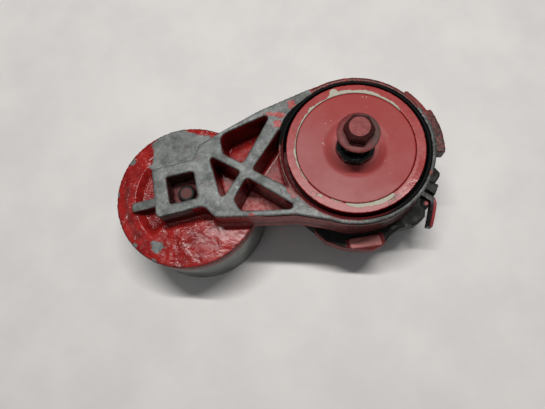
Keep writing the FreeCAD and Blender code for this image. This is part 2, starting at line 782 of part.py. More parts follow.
def build_front():
    """Front plate, split friction ring, cone spring and the arm's dust seal."""
    dish_top = "plate_top_level - plate_dish_depth"
    dish_bottom = "plate_bottom_level - plate_dish_depth"
    turned("front_plate", [
        ("plate_bore_radius", dish_bottom), ("plate_dish_radius", dish_bottom),
        ("plate_cone_radius", "plate_bottom_level"), ("plate_radius", "plate_bottom_level"),
        ("plate_radius", "plate_top_level"), ("plate_cone_radius", "plate_top_level"),
        ("plate_dish_radius", dish_top), ("plate_bore_radius", dish_top)])

    ring = turned("friction_ring", [
        ("friction_ring_inner_radius", "friction_ring_bottom_level"),
        ("friction_ring_radius", "friction_ring_bottom_level"),
        ("friction_ring_radius", "plate_top_level"),
        ("friction_ring_step_radius", "plate_top_level"),
        ("friction_ring_step_radius", "friction_ring_flange_level"),
        ("friction_ring_inner_radius", "friction_ring_flange_level")])
    (x1, y1), (x2, y2), width = FRICTION_RING_SPLIT
    outside, inside = Vector(x1, y1, 0), Vector(x2, y2, 0)
    line = (inside - outside).normalize()
    split = box_along("ring_split", outside - line * SPLIT_LEAD, line, SPLIT_LENGTH, width,
                      size("friction_ring_bottom_level") - BREAK_OUT,
                      size("plate_top_level") + BREAK_OUT)
    keep("friction_ring", cut("friction_ring", ring, split))
    ring.Label = "friction_ring_blank"

    low, high = "cone_spring_low_level", "cone_spring_high_level"
    turned("cone_spring", [
        ("cone_spring_outer_radius", low),
        ("cone_spring_outer_radius", low + " + cone_spring_thickness"),
        ("cone_spring_inner_radius", high + " + cone_spring_thickness"),
        ("cone_spring_inner_radius", high)])

    keep("dust_seal", tube("dust_seal", "ring_bore_radius", "seal_inner_radius",
                           "seal_bottom_level", "seal_top_level"))


# ---- pulley and bearing --------------------------------------------------------------------

def build_pulley():
    """Flat pulley with a pressed web and hub, its snap ring and its dust cover."""
    inside = "pulley_radius - rim_thickness"
    turned("pulley_shell", [
        (inside, "face"), ("pulley_radius", "face"),
        ("pulley_radius", "pulley_top_level"), (inside, "pulley_top_level"),
        (inside, "pulley_web_top_level"), ("pulley_hub_radius", "pulley_web_top_level"),
        ("pulley_hub_radius", "pulley_hub_top_level"),
        ("bearing_outer_radius", "pulley_hub_top_level"),
        ("bearing_outer_radius", "snap_groove_top_level"),
        ("snap_groove_radius", "snap_groove_top_level"),
        ("snap_groove_radius", "snap_groove_bottom_level"),
        ("bearing_outer_radius", "snap_groove_bottom_level"),
        ("bearing_outer_radius", "bearing_bottom_level"),
        ("pulley_lip_radius", "bearing_bottom_level"),
        ("pulley_lip_radius", "pulley_hub_bottom_level"),
        ("pulley_hub_radius", "pulley_hub_bottom_level"),
        ("pulley_hub_radius", "pulley_web_bottom_level"),
        (inside, "pulley_web_bottom_level")], off_centre=True)

    top = "snap_ring_bottom_level + snap_ring_thickness"
    whole = tube("snap_ring_blank", "snap_ring_radius", "snap_ring_inner_radius",
                 "snap_ring_bottom_level", top, PULLEY_CENTRE)
    inset, length, width = SNAP_RING_GAP
    gap = box_along("snap_ring_gap", Vector(*PULLEY_CENTRE, 0) + Vector(0, inset, 0),
                    Vector(0, 1, 0), length, width,
                    size("snap_ring_bottom_level") - BREAK_OUT, value_of(top) + BREAK_OUT)
    keep("snap_ring", cut("snap_ring", whole, gap))
    keep("pulley_dust_cover", tube("pulley_dust_cover", "cover_radius", "cover_bore_radius",
                                   "cover_bottom_level", "cover_top_level", PULLEY_CENTRE))


def build_bearing():
    """Deep-groove ball bearing: two races, balls, cage and two seals."""
    low, high = "bearing_bottom_level", "bearing_top_level"
    middle = (size(low) + size(high)) / 2
    groove = doc.addObject("Part::Torus", "race_groove")
    groove.setExpression("Radius1", bound("ball_circle_radius"))
    groove.setExpression("Radius2", bound("ball_radius + ball_clearance"))
    groove.Placement = Placement(Vector(*PULLEY_CENTRE, middle), Rotation())

    inner = tube("inner_race_blank", "inner_shoulder_radius", "bearing_bore_radius",
                 low, high, PULLEY_CENTRE)
    keep("bearing_inner_race", cut("bearing_inner_race", inner, groove))
    outer = tube("outer_race_blank", "bearing_outer_radius", "outer_shoulder_radius",
                 low, high, PULLEY_CENTRE)
    keep("bearing_outer_race", cut("bearing_outer_race", outer, groove))

    balls, rooms = [], []
    for i in range(BALL_COUNT):
        angle = 2 * math.pi * i / BALL_COUNT
        hub = Vector(*PULLEY_CENTRE, middle)
        ball = doc.addObject("Part::Sphere", "ball_%d" % i)
        ball.setExpression("Radius", bound("ball_radius"))
        ball.Placement = Placement(hub + radial(angle) * size("ball_circle_radius"), Rotation())
        balls.append(ball)
        room = doc.addObject("Part::Cylinder", "ball_room_%d" % i)
        room.setExpression("Radius", bound("ball_radius + ball_room_clearance"))
        room.setExpression("Height", bound("bearing_outer_radius"))
        room.Placement = Placement(hub, Rotation(Vector(0, 0, 1), radial(angle)))
        rooms.append(room)
    group = doc.addObject("Part::Compound", "bearing_balls")
    group.Links = balls
    keep("bearing_balls", group)
    ring = tube("cage_blank", "cage_outer_radius", "cage_inner_radius",
                "cage_bottom_level", "cage_top_level", PULLEY_CENTRE)
    keep("bearing_cage", cut("bearing_cage", ring, *rooms))

    for name, bottom in (
            ("bearing_seal_lower", low + " + bearing_seal_inset"),
            ("bearing_seal_upper", high + " - bearing_seal_inset - bearing_seal_thickness")):
        seal = cut(name, cylinder(name + "_disc", "bearing_seal_outer_radius", low, high,
                                  PULLEY_CENTRE),
                   cylinder(name + "_hole", "bearing_seal_inner_radius", low, high,
                            PULLEY_CENTRE))
        for blank in (name + "_disc", name + "_hole"):
            disc = doc.getObject(blank)
            disc.setExpression("Height", bound("bearing_seal_thickness"))
            disc.setExpression("Placement.Base.z", bound(bottom))
        keep(name, seal)


def build_pulley_bolt():
    """Bolt up through the bearing into the arm's boss, with its spacer and shield."""
    turned("pulley_spacer", [
        ("spacer_bore_radius", "spacer_bottom_level"),
        ("spacer_sleeve_radius", "spacer_bottom_level"),
        ("spacer_sleeve_radius", "bearing_top_level"),
        ("spacer_flange_radius", "bearing_top_level"),
        ("spacer_flange_radius", "arm_bottom_level"),
        ("spacer_bore_radius", "arm_bottom_level")], off_centre=True)
    turned("bearing_shield", [
        ("spacer_bore_radius", "shield_bottom_level"), ("shield_radius", "shield_bottom_level"),
        ("shield_radius", "shield_rim_level"), ("shield_hub_radius", "shield_rim_level"),
        ("shield_hub_radius", "bearing_bottom_level"),
        ("spacer_bore_radius", "bearing_bottom_level")], off_centre=True)

    end = "pulley_bolt_end_level"
    tip = end + " - bolt_chamfer"
    shank = cylinder("pulley_bolt_shank", "bolt_thread_radius",
                     "pulley_bolt_flange_level", tip, PULLEY_CENTRE)
    point = cone("pulley_bolt_point", "bolt_thread_radius", "bolt_end_radius", tip, end,
                 PULLEY_CENTRE)
    flange = cylinder("pulley_bolt_flange", "pulley_bolt_flange_radius",
                      "pulley_bolt_flange_level", "shield_bottom_level", PULLEY_CENTRE)
    head = prism("pulley_bolt_head", HEXAGON, "pulley_bolt_flats", "pulley_bolt_hex_level",
                 "pulley_bolt_flange_level", PULLEY_CENTRE)
    keep("pulley_bolt", fuse("pulley_bolt", shank, point, flange, head))


def build_mounting_bolt():
    """Flanged bolt, pushed up in the pivot tube, and the sleeve that keeps it captive."""
    tip = "mounting_bolt_tip_level + bolt_chamfer"
    flange = "mounting_bolt_flange_level"
    rim = "mounting_bolt_flange_top_level"
    crown = "mounting_bolt_cone_level"
    shank = cylinder("mounting_bolt_shank", "mounting_bolt_radius", tip, flange)
    point = cone("mounting_bolt_point", "bolt_end_radius", "mounting_bolt_radius",
                 "mounting_bolt_tip_level", tip)
    washer = cylinder("mounting_bolt_flange", "mounting_bolt_flange_radius", flange, rim)
    slope = doc.addObject("Part::Cone", "mounting_bolt_slope")
    slope.setExpression("Radius1", bound("mounting_bolt_flange_radius"))
    slope.setExpression("Radius2", bound("mounting_bolt_flats") + " / 2")
    slope.setExpression("Height", bound(rise(rim, crown)))
    slope.setExpression("Placement.Base.z", bound(rim))
    head = screw_head("mounting_bolt_head", HEXAGON, "mounting_bolt_flats", "bolt_top_share",
                      rim, "mounting_bolt_top_level", BOLT_HEAD_TURN)
    keep("mounting_bolt", fuse("mounting_bolt", shank, point, washer, slope, head))
    keep("bolt_retainer", tube("bolt_retainer", "retainer_radius", "retainer_bore_radius",
                               "retainer_bottom_level", "retainer_top_level"))


def check_and_write():
    """Stops on any failed object, then writes one STEP file per piece."""
    doc.recompute()
    failed = [o.Name for o in doc.Objects
              if {"Invalid", "Error"} & set(o.State)]
    if failed:
        raise RuntimeError("failed objects: %s" % ", ".join(failed))
    os.makedirs("parts", exist_ok=True)
    for name, feature in nodes.items():
        shape = feature.Shape
        if shape.isNull() or not shape.isValid() or not shape.Solids:
            raise RuntimeError("%s has no valid solid" % name)
        shape.exportStep(os.path.join("parts", name + ".step"))
        box = shape.BoundBox
        print("%-20s %d solid(s) %10.0f mm3  x %.1f..%.1f  y %.1f..%.1f  z %.1f..%.1f" % (
            name, len(shape.Solids), shape.Volume, box.XMin, box.XMax,
            box.YMin, box.YMax, box.ZMin, box.ZMax))


fill_sheet()
build_arm()
build_housing()
build_spring()
build_pivot()
build_front()
build_pulley()
build_bearing()
build_pulley_bolt()
build_mounting_bolt()
check_and_write()
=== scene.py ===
import json
import math

import bpy
import numpy as np
from mathutils import Matrix, Vector


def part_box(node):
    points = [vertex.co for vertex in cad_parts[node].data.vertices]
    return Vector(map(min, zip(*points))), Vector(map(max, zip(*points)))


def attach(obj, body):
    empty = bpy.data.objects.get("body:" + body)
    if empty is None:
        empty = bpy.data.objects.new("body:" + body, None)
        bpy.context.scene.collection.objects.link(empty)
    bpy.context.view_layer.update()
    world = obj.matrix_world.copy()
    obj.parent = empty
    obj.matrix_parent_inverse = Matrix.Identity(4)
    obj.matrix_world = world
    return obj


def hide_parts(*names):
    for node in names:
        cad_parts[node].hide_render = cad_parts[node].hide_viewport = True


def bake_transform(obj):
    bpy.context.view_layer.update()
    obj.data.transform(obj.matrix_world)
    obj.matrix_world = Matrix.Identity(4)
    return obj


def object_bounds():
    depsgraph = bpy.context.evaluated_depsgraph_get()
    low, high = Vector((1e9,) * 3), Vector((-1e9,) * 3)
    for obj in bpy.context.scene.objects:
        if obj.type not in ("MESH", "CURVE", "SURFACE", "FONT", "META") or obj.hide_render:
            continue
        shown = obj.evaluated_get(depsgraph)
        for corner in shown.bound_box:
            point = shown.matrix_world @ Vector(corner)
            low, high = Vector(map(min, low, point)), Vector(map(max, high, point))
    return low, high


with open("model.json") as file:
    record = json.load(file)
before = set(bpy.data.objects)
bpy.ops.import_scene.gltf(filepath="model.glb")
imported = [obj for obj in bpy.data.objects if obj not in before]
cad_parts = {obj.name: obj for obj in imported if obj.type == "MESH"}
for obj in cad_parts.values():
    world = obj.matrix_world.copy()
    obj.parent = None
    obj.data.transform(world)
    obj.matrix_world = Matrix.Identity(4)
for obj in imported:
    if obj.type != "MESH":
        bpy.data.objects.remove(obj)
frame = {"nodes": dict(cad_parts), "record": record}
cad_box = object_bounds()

# Looks of the worn belt tensioner.  Places in this file are in millimetres in
# the row's frame and are turned into metres by MM where Blender needs them.
# A "field" is a number at each vertex: millimetres inside a painted or bare
# area, negative outside it, which a shader cuts off along a noisy edge.
# A "share" goes from 0 to 1.

MM = 0.001
BODIES = frame["record"]["behaviour"]["bodies"]
PULLEY_X = (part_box("pulley_shell")[0].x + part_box("pulley_shell")[1].x) / 2 / MM
ARM_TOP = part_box("tension_arm")[1].z / MM

# ---- small helpers ------------------------------------------------------------


def link(obj):
    """Puts an object in the scene."""
    bpy.context.scene.collection.objects.link(obj)
    return obj


def smoothstep(low, high, value):
    """Share that goes smoothly from 0 at low to 1 at high."""
    share = np.clip((value - low) / (high - low), 0, 1)
    return share * share * (3 - 2 * share)


def inside(field, over=1.0):
    """Share that is 0 outside a field and rises to 1 where the field reaches `over`."""
    return smoothstep(0, over, field)


class Shader:
    """One node material, built from left to right."""

    def __init__(self, name, **inputs):
        self.material = bpy.data.materials.new(name)
        self.material.use_nodes = True
        self.tree = self.material.node_tree
        self.bsdf = self.tree.nodes["Principled BSDF"]
        coordinates = self.tree.nodes.new("ShaderNodeTexCoord")
        self.place = coordinates.outputs["Object"]
        self.normal = coordinates.outputs["Normal"]
        self.uniform(**inputs)

    def uniform(self, **inputs):
        """Sets numbers that are the same all over the surface."""
        for name, value in inputs.items():
            self.bsdf.inputs[name.replace("_", " ")].default_value = value

    def put(self, socket, value):
        """Gives a socket a link, or a value of its own."""
        if isinstance(value, bpy.types.NodeSocket):
            self.tree.links.new(value, socket)
        else:
            socket.default_value = value

    def feed(self, name, value):
        """Gives an input of the surface a link or a value."""
        self.put(self.bsdf.inputs[name], value)

    def noise(self, size_mm, detail=3.0, roughness=0.55, distortion=0.0, stretch=None):
        """Noise from 0 to 1 with features of about size_mm."""
        node = self.tree.nodes.new("ShaderNodeTexNoise")
        node.inputs["Scale"].default_value = 1 / (size_mm * MM)
        node.inputs["Detail"].default_value = detail
        node.inputs["Roughness"].default_value = roughness
        node.inputs["Distortion"].default_value = distortion
        self.put(node.inputs["Vector"], self.stretched(stretch) if stretch else self.place)
        return node.outputs["Fac"]

    def stretched(self, stretch):
        """Object coordinates scaled along each axis."""
        node = self.tree.nodes.new("ShaderNodeMapping")
        node.inputs["Scale"].default_value = stretch
        self.put(node.inputs["Vector"], self.place)
        return node.outputs["Vector"]

    def cells(self, size_mm):
        """Distance from the middles of crystal-like cells of about size_mm."""
        node = self.tree.nodes.new("ShaderNodeTexVoronoi")
        node.inputs["Scale"].default_value = 1 / (size_mm * MM)
        self.put(node.inputs["Vector"], self.place)
        return node.outputs["Distance"]

    def math(self, operation, a, b=0.0, c=0.0):
        """One operation on up to three numbers."""
        node = self.tree.nodes.new("ShaderNodeMath")
        node.operation = operation
        for socket, value in zip(node.inputs, (a, b, c)):
            self.put(socket, value)
        return node.outputs[0]

    def times(self, a, b):
        """Product of two numbers."""
        return self.math("MULTIPLY", a, b)

    def ragged(self, noise, amplitude, value):
        """A value shifted to and fro by noise, so that where it is cut off is a ragged line."""
        return self.math("MULTIPLY_ADD", self.math("SUBTRACT", noise, 0.5), amplitude, value)

    def ramp(self, value, low, high, out_low=0.0, out_high=1.0):
        """Smooth step from out_low to out_high as value goes from low to high."""
        node = self.tree.nodes.new("ShaderNodeMapRange")
        node.interpolation_type = "SMOOTHSTEP"
        for name, number in (("From Min", low), ("From Max", high),
                             ("To Min", out_low), ("To Max", out_high)):
            node.inputs[name].default_value = number
        self.put(node.inputs["Value"], value)
        return node.outputs["Result"]

    def mixed(self, kind, share, a, b):
        """A Mix node's result; each kind of data has sockets A, B and Result of its own."""
        first, second, result = {"FLOAT": (2, 3, 0), "RGBA": (6, 7, 2)}[kind]
        node = self.tree.nodes.new("ShaderNodeMix")
        node.data_type = kind
        self.put(node.inputs["Factor"], share)
        self.put(node.inputs[first], a)
        self.put(node.inputs[second], b)
        return node.outputs[result]

    def mix(self, share, a, b):
        """Colour a where share is 0, b where it is 1."""
        a, b = ((*value, 1.0) if isinstance(value, tuple) else value for value in (a, b))
        return self.mixed("RGBA", share, a, b)

    def blend(self, share, a, b):
        """Number a where share is 0, b where it is 1."""
        return self.mixed("FLOAT", share, a, b)

    def field(self, name):
        """A number stored at the piece's vertices."""
        node = self.tree.nodes.new("ShaderNodeAttribute")
        node.attribute_name = name
        return node.outputs["Fac"]

    def axis(self, letter, vector=None):
        """One coordinate of the object coordinates, in metres, or of another vector."""
        node = self.tree.nodes.new("ShaderNodeSeparateXYZ")
        self.put(node.inputs[0], vector or self.place)
        return node.outputs["XYZ".index(letter)]

    def away(self, x, y):
        """Millimetres on the plan from a place."""
        node = self.tree.nodes.new("ShaderNodeVectorMath")
        node.operation = "MULTIPLY_ADD"
        self.put(node.inputs[0], self.place)
        node.inputs[1].default_value = (1 / MM, 1 / MM, 0)
        node.inputs[2].default_value = (-x, -y, 0)
        length = self.tree.nodes.new("ShaderNodeVectorMath")
        length.operation = "LENGTH"
        self.put(length.inputs[0], node.outputs[0])
        return length.outputs["Value"]

    def spot(self, x, y, radius):
        """1 in a small ragged spot at a place of the plan, in millimetres."""
        distance = self.math("MULTIPLY_ADD", self.noise(0.8, 2.0), radius, self.away(x, y))
        return self.ramp(distance, 1.6 * radius, 1.1 * radius)

    def bump(self, *layers):
        """Stacks bumps; each layer is (height from 0 to 1, millimetres)."""
        last = None
        for height, depth in layers:
            node = self.tree.nodes.new("ShaderNodeBump")
            node.inputs["Distance"].default_value = depth * MM
            self.put(node.inputs["Height"], height)
            if last:
                self.put(node.inputs["Normal"], last)
            last = node.outputs["Normal"]
        self.feed("Normal", last)


# ---- geometry -------------------------------------------------------------------


def soft_copy(node, cell, passes, shape=None):
    """A CAD node remeshed in even cells and relaxed, so that its edges are round.

    shape(points, normals) may move the copy's points, in millimetres, before it is relaxed."""
    piece = link(bpy.data.objects.new(node + "_worn", frame["nodes"][node].data.copy()))
    remesh = piece.modifiers.new("cells", "REMESH")
    remesh.mode = "VOXEL"
    remesh.voxel_size = cell * MM
    freeze(piece)
    if shape:
        points = vertices(piece)
        shape(points, normals(piece))
        piece.data.vertices.foreach_set("co", (points * MM).ravel())
    relax = piece.modifiers.new("relax", "SMOOTH")
    relax.factor = 0.5
    relax.iterations = passes
    freeze(piece)
    piece.data.materials.clear()
    smooth(piece)
    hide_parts(node)
    body = next(name for name, nodes in BODIES.items() if node in nodes)
    return piece, body


def freeze(piece):
    """Applies a piece's modifiers."""
    graph = bpy.context.evaluated_depsgraph_get()
    mesh = bpy.data.meshes.new_from_object(piece.evaluated_get(graph))
    piece.modifiers.clear()
    piece.data = mesh


def smooth(piece):
    """Shades every face of a piece smoothly."""
    flags = np.ones(len(piece.data.polygons), bool)
    piece.data.polygons.foreach_set("use_smooth", flags)


def vertices(piece):
    """A piece's points, in millimetres, one row each."""
    points = np.empty(len(piece.data.vertices) * 3, np.float32)
    piece.data.vertices.foreach_get("co", points)
    return points.reshape(-1, 3) / MM


def normals(piece):
    """The directions that a piece's points face, one row each."""
    vectors = np.empty(len(piece.data.vertices) * 3, np.float32)
    piece.data.vertex_normals.foreach_get("vector", vectors)
    return vectors.reshape(-1, 3)


def store(piece, name, values):
    """Keeps a field or share on a piece, where its shader reads it by name."""
    attribute = piece.data.attributes.new(name, "FLOAT", "POINT")
    attribute.data.foreach_set("value", values.astype(np.float32))


def blob(points, x, y, radius):
    """Field of a round area on the plan."""
    return radius - np.hypot(points[:, 0] - x, points[:, 1] - y)


def outline_field(points, corners):
    """Field of a closed outline on the plan: distance to it, positive inside."""
    plan = points[:, :2]
    corners = np.array(corners, float)
    within = np.zeros(len(plan), bool)
    nearest = np.full(len(plan), np.inf)
    for a, b in zip(corners, np.roll(corners, -1, axis=0)):
        side = b - a
        along = np.clip((plan - a) @ side / (side @ side), 0, 1)
        nearest = np.minimum(nearest, np.linalg.norm(plan - a - along[:, None] * side, axis=1))
        crosses = (a[1] > plan[:, 1]) != (b[1] > plan[:, 1])
        with np.errstate(divide="ignore", invalid="ignore"):
            at = a[0] + (plan[:, 1] - a[1]) * side[0] / side[1]
        within ^= crosses & (plan[:, 0] < at)
    return np.where(within, nearest, -nearest)


def box_field(points, low, high):
    """Field of a box between two corners."""
    return np.minimum(points - low, high - points).min(axis=1)


def level_field(points, level, half=1.0):
    """Field of what lies within half a layer's thickness of a level."""
    return half - np.abs(points[:, 2] - level)


def any_of(*fields):
    """Field of what lies in one field or another."""
    return np.maximum.reduce(fields)


def all_of(*fields):
    """Field of what lies in every one of the fields."""
    return np.minimum.reduce(fields)


def plan_radius(points, x=0.0):
    """Distances on the plan from the pivot, or from another place along X."""
    return np.hypot(points[:, 0] - x, points[:, 1])


def angle_field(points, first, last):
    """Field, in degrees, of a sector of the plan about the pivot."""
    angle = np.degrees(np.arctan2(points[:, 1], points[:, 0]))
    from_middle = (angle - (first + last) / 2 + 180) % 360 - 180
    return (last - first) / 2 - np.abs(from_middle)


# ---- materials ----------------------------------------------------------------------

RED = (0.34, 0.017, 0.015)
DEEP_RED = (0.19, 0.006, 0.006)
DUSTY_RED = (0.36, 0.095, 0.090)
DUST_AND_LIGHT_THIN = (0.34, 0.050, 0.047)
DUST_AND_LIGHT_THICK = (0.50, 0.200, 0.195)
RED_SHADE = (0.020, 0.006, 0.006)
BARE_METAL = (0.172, 0.184, 0.180)
DULL_METAL = (0.088, 0.097, 0.093)
BRIGHT_METAL = (0.30, 0.318, 0.31)
PITTED_METAL = (0.075, 0.085, 0.078)
RED_STAIN = (0.17, 0.085, 0.080)
GREENISH_BLACK = (0.022, 0.024, 0.020)
SHADE_BLACK = (0.003, 0.003, 0.003)


def bare_casting(shader):
    """Colour and roughness of oxidised cast aluminium, mottled and pitted, and its grain."""
    clouds = shader.noise(9.0, 4.0, 0.62)
    grain = shader.noise(0.8, 3.0, 0.7)
    specks = shader.noise(2.6, 5.0, 0.72)
    polish = shader.ramp(shader.noise(15.0), 0.50, 0.66, 0.0, 0.5)
    colour = shader.mix(shader.ramp(clouds, 0.34, 0.60), DULL_METAL, BARE_METAL)
    for share, tint in ((polish, BRIGHT_METAL),
                        (shader.ramp(specks, 0.54, 0.76, 0.0, 0.6), BRIGHT_METAL),
                        (shader.ramp(specks, 0.44, 0.28, 0.0, 0.7), PITTED_METAL),
                        (shader.ramp(grain, 0.54, 0.34, 0.0, 0.55), DULL_METAL),
                        (shader.ramp(grain, 0.54, 0.72, 0.0, 0.35), BRIGHT_METAL)):
        colour = shader.mix(share, colour, tint)
    return colour, shader.ramp(specks, 0.3, 0.7, 0.62, 0.42), grain


def arm_paint(shader, blotches, dust):
    """Colour of the arm's red paint under a pale layer of dust and painted light, and under dark
    red painted shade.
    """
    shade = shader.noise(9.0, 4.0, 0.6)
    paint = shader.mix(shader.ramp(shade, 0.3, 0.7), DEEP_RED, RED)
    paint = shader.mix(shader.ramp(blotches, 0.54, 0.72, 0.0, 0.35), paint, DUSTY_RED)
    # Pale colour of dust, and of painted light on the lower side walls.
    dust_and_light_colour = shader.mix(shader.ramp(blotches, 0.35, 0.62), DUST_AND_LIGHT_THIN, DUST_AND_LIGHT_THICK)
    paint = shader.mix(dust, paint, dust_and_light_colour)
    uneven = shader.ramp(shader.noise(3.5, 4.0, 0.6), 0.30, 0.62, 0.60, 1.0)
    return shader.mix(shader.times(shader.field("painted_shade"), uneven), paint, RED_SHADE)


def arm_relief(shader, bare, grain):
    """The arm's bumps: sandy metal, and paint with an edge, runs, ripples and speckles."""
    wrinkle = shader.field("wrinkle")
    runs = shader.times(wrinkle, shader.noise(6.0, 1.0, 0.4, distortion=0.6))
    rippled = shader.times(wrinkle, shader.ramp(shader.noise(16.0, 2.0), 0.45, 0.62))
    ripples = shader.times(rippled, shader.noise(2.2, 2.0, 0.5, 0.8, stretch=(0.5, 1.2, 1.0)))
    speckle = shader.times(shader.field("speckle"), shader.noise(1.9, 2.0, 0.6))
    paint_film = shader.math("SUBTRACT", 1.0, bare)
    shader.bump((grain, 0.04), (runs, 0.26), (ripples, 0.36), (speckle, 0.50),
                (paint_film, 0.12), (shader.noise(9.0, 1.0), 0.20))


def cast_arm_material():
    """Red paint with runs and wrinkles over cast aluminium, gone from the top faces."""
    shader = Shader("worn_red_casting", Specular_IOR_Level=0.18)
    metal, metal_roughness, grain = bare_casting(shader)
    bare = shader.ragged(shader.noise(1.6, 4.0, 0.7), 4.6, shader.field("bare"))
    bare = shader.ramp(bare, -0.15, 0.15)
    blotches = shader.noise(2.6, 5.0, 0.7)
    dust = shader.ramp(shader.field("dust"), 0.0, 1.0)
    stain = shader.ramp(shader.noise(5.0, 5.0, 0.7), 0.56, 0.72, 0.0, 0.45)
    metal = shader.mix(stain, metal, RED_STAIN)
    colour = shader.mix(bare, arm_paint(shader, blotches, dust), metal)
    uneven = shader.ramp(shader.noise(2.2, 4.0, 0.7), 0.32, 0.60, 0.30, 1.0)
    # Near-black for dirt, and painted shade on faces turned away from the lamp.
    colour = shader.mix(shader.times(shader.field("soil_and_shade"), uneven), colour, GREENISH_BLACK)
    # Painted shade: black in the groove and in the gap round the pivot ring's bore.
    groove_and_gap_shade = shader.ramp(shader.field("groove_and_gap_shade"), 0.3, 0.7)
    shader.feed("Base Color", shader.mix(groove_and_gap_shade, colour, SHADE_BLACK))

    roughness = shader.ramp(blotches, 0.35, 0.7, 0.12, 0.26)
    for share, value in ((dust, 0.60), (bare, metal_roughness), (groove_and_gap_shade, 0.85)):
        roughness = shader.blend(share, roughness, value)
    shader.feed("Roughness", roughness)
    shader.feed("Metallic", shader.times(bare, 0.2))
    arm_relief(shader, bare, grain)
    return shader.material


PLATE_RED = (0.30, 0.016, 0.014)
PLATE_SHEEN_PINK = (0.31, 0.056, 0.056)
PLATE_BLOTCH = (0.29, 0.024, 0.022)
PLATE_SPECK = (0.30, 0.03, 0.035)
PLATE_SCRATCH = (0.55, 0.35, 0.34)
PLATE_FLAKE = (0.56, 0.36, 0.33)
DISH_PAINTED_LIGHT = (0.44, 0.085, 0.080)
FLAKES = [(-20.5, 7.5, 0.75), (-20.2, 6.2, 0.45), (15.9, -14.4, 0.3), (14.2, 34.6, 0.5),
          (16.8, 33.7, 0.45), (-15.3, 21.2, 0.4), (-11.2, 22.4, 0.35), (23.0, 2.5, 0.25)]


def plate_material():
    """Pinkish red semi-matt paint on the pressed plate, lightly mottled and scratched, with
    painted sheen towards -X and -Y and painted light in the dish round the bolt.
    """
    shader = Shader("plate_paint", Specular_IOR_Level=0.32)
    mottle = shader.noise(22.0, 5.0, 0.62)
    fine = shader.noise(1.2, 4.0, 0.7)
    strokes = shader.noise(1.1, 2.0, 0.5, stretch=(0.25, 1.4, 1.0))
    scratch = shader.times(shader.ramp(strokes, 0.66, 0.72),
                           shader.ramp(shader.noise(16.0, 2.0), 0.56, 0.66))
    # Partly uneven paint and partly painted sheen: pinker towards -X and -Y, where the lamp's
    # reflection lies, redder towards +X and +Y.
    away_from_sheen = shader.math("MULTIPLY_ADD", shader.axis("Y"), 0.8, shader.axis("X"))
    away_from_sheen = shader.math("MULTIPLY_ADD", mottle, 0.05, away_from_sheen)
    colour = shader.mix(shader.ramp(away_from_sheen, 0.055, -0.012), PLATE_RED, PLATE_SHEEN_PINK)
    # Painted light: the paint in the dish round the bolt is made paler to offset its shading.
    for share, tint in ((shader.ramp(mottle, 0.50, 0.36, 0.0, 0.5), PLATE_BLOTCH),
                        (shader.ramp(fine, 0.55, 0.8, 0.0, 0.30), PLATE_SPECK),
                        (shader.times(scratch, 0.7), PLATE_SCRATCH),
                        (shader.ramp(shader.away(0.0, 0.0), 22.0, 15.5, 0.0, 0.55), DISH_PAINTED_LIGHT)):
        colour = shader.mix(share, colour, tint)
    for flake in FLAKES:
        colour = shader.mix(shader.times(shader.spot(*flake), 0.75), colour, PLATE_FLAKE)
    shader.feed("Base Color", colour)
    shader.feed("Roughness", shader.ramp(mottle, 0.3, 0.7, 0.40, 0.50))
    shader.bump((fine, 0.03), (mottle, 0.10))
    return shader.material


RING_SIDE_TOP = 74.7
RING_REDS = ((0.28, 0.020, 0.020), (0.36, 0.040, 0.040))
RING_CREAMS = ((0.36, 0.34, 0.27), (0.50, 0.475, 0.39))
RING_SIDE_SHADE_RED = (0.075, 0.004, 0.005)
RING_LINE = (0.030, 0.006, 0.006)


def friction_ring_material():
    """Glossy red overspray on cream nylon, chipped off along the inner edge, with painted shade on
    its side.
    """
    shader = Shader("friction_nylon", Specular_IOR_Level=0.3)
    chipped = shader.ragged(shader.noise(2.2, 5.0, 0.75), 3.0, shader.field("bare"))
    chipped = shader.ramp(chipped, -0.10, 0.10)
    shade = shader.noise(6.0, 3.0, 0.6)
    paint = shader.mix(shader.ramp(shade, 0.3, 0.7), *RING_REDS)
    cream = shader.mix(shader.noise(1.5, 3.0), *RING_CREAMS)
    # Painted shade: the ring's side below its top is made dark red.
    side = shader.ramp(shader.axis("Z"), RING_SIDE_TOP * MM, (RING_SIDE_TOP - 0.5) * MM)
    paint = shader.mix(side, paint, RING_SIDE_SHADE_RED)
    lines = shader.ramp(shader.field("lines"), -0.60, -0.10, 0.0, 0.75)
    colour = shader.mix(lines, shader.mix(chipped, paint, cream), RING_LINE)
    shader.feed("Base Color", colour)
    shader.feed("Roughness", shader.blend(chipped, shader.field("gloss"), 0.60))
    shader.bump((shader.math("SUBTRACT", 1.0, chipped), 0.12), (shade, 0.12),
                (shader.noise(1.0, 2.0), 0.006))
    return shader.material


HOUSING_SOOT_AND_SHADE = ((0.004, 0.005, 0.0045), (0.020, 0.021, 0.019))
HOUSING_REDS = ((0.12, 0.008, 0.008), (0.26, 0.040, 0.040))
HOUSING_LIT_PINKS = ((0.28, 0.060, 0.058), (0.56, 0.235, 0.225))


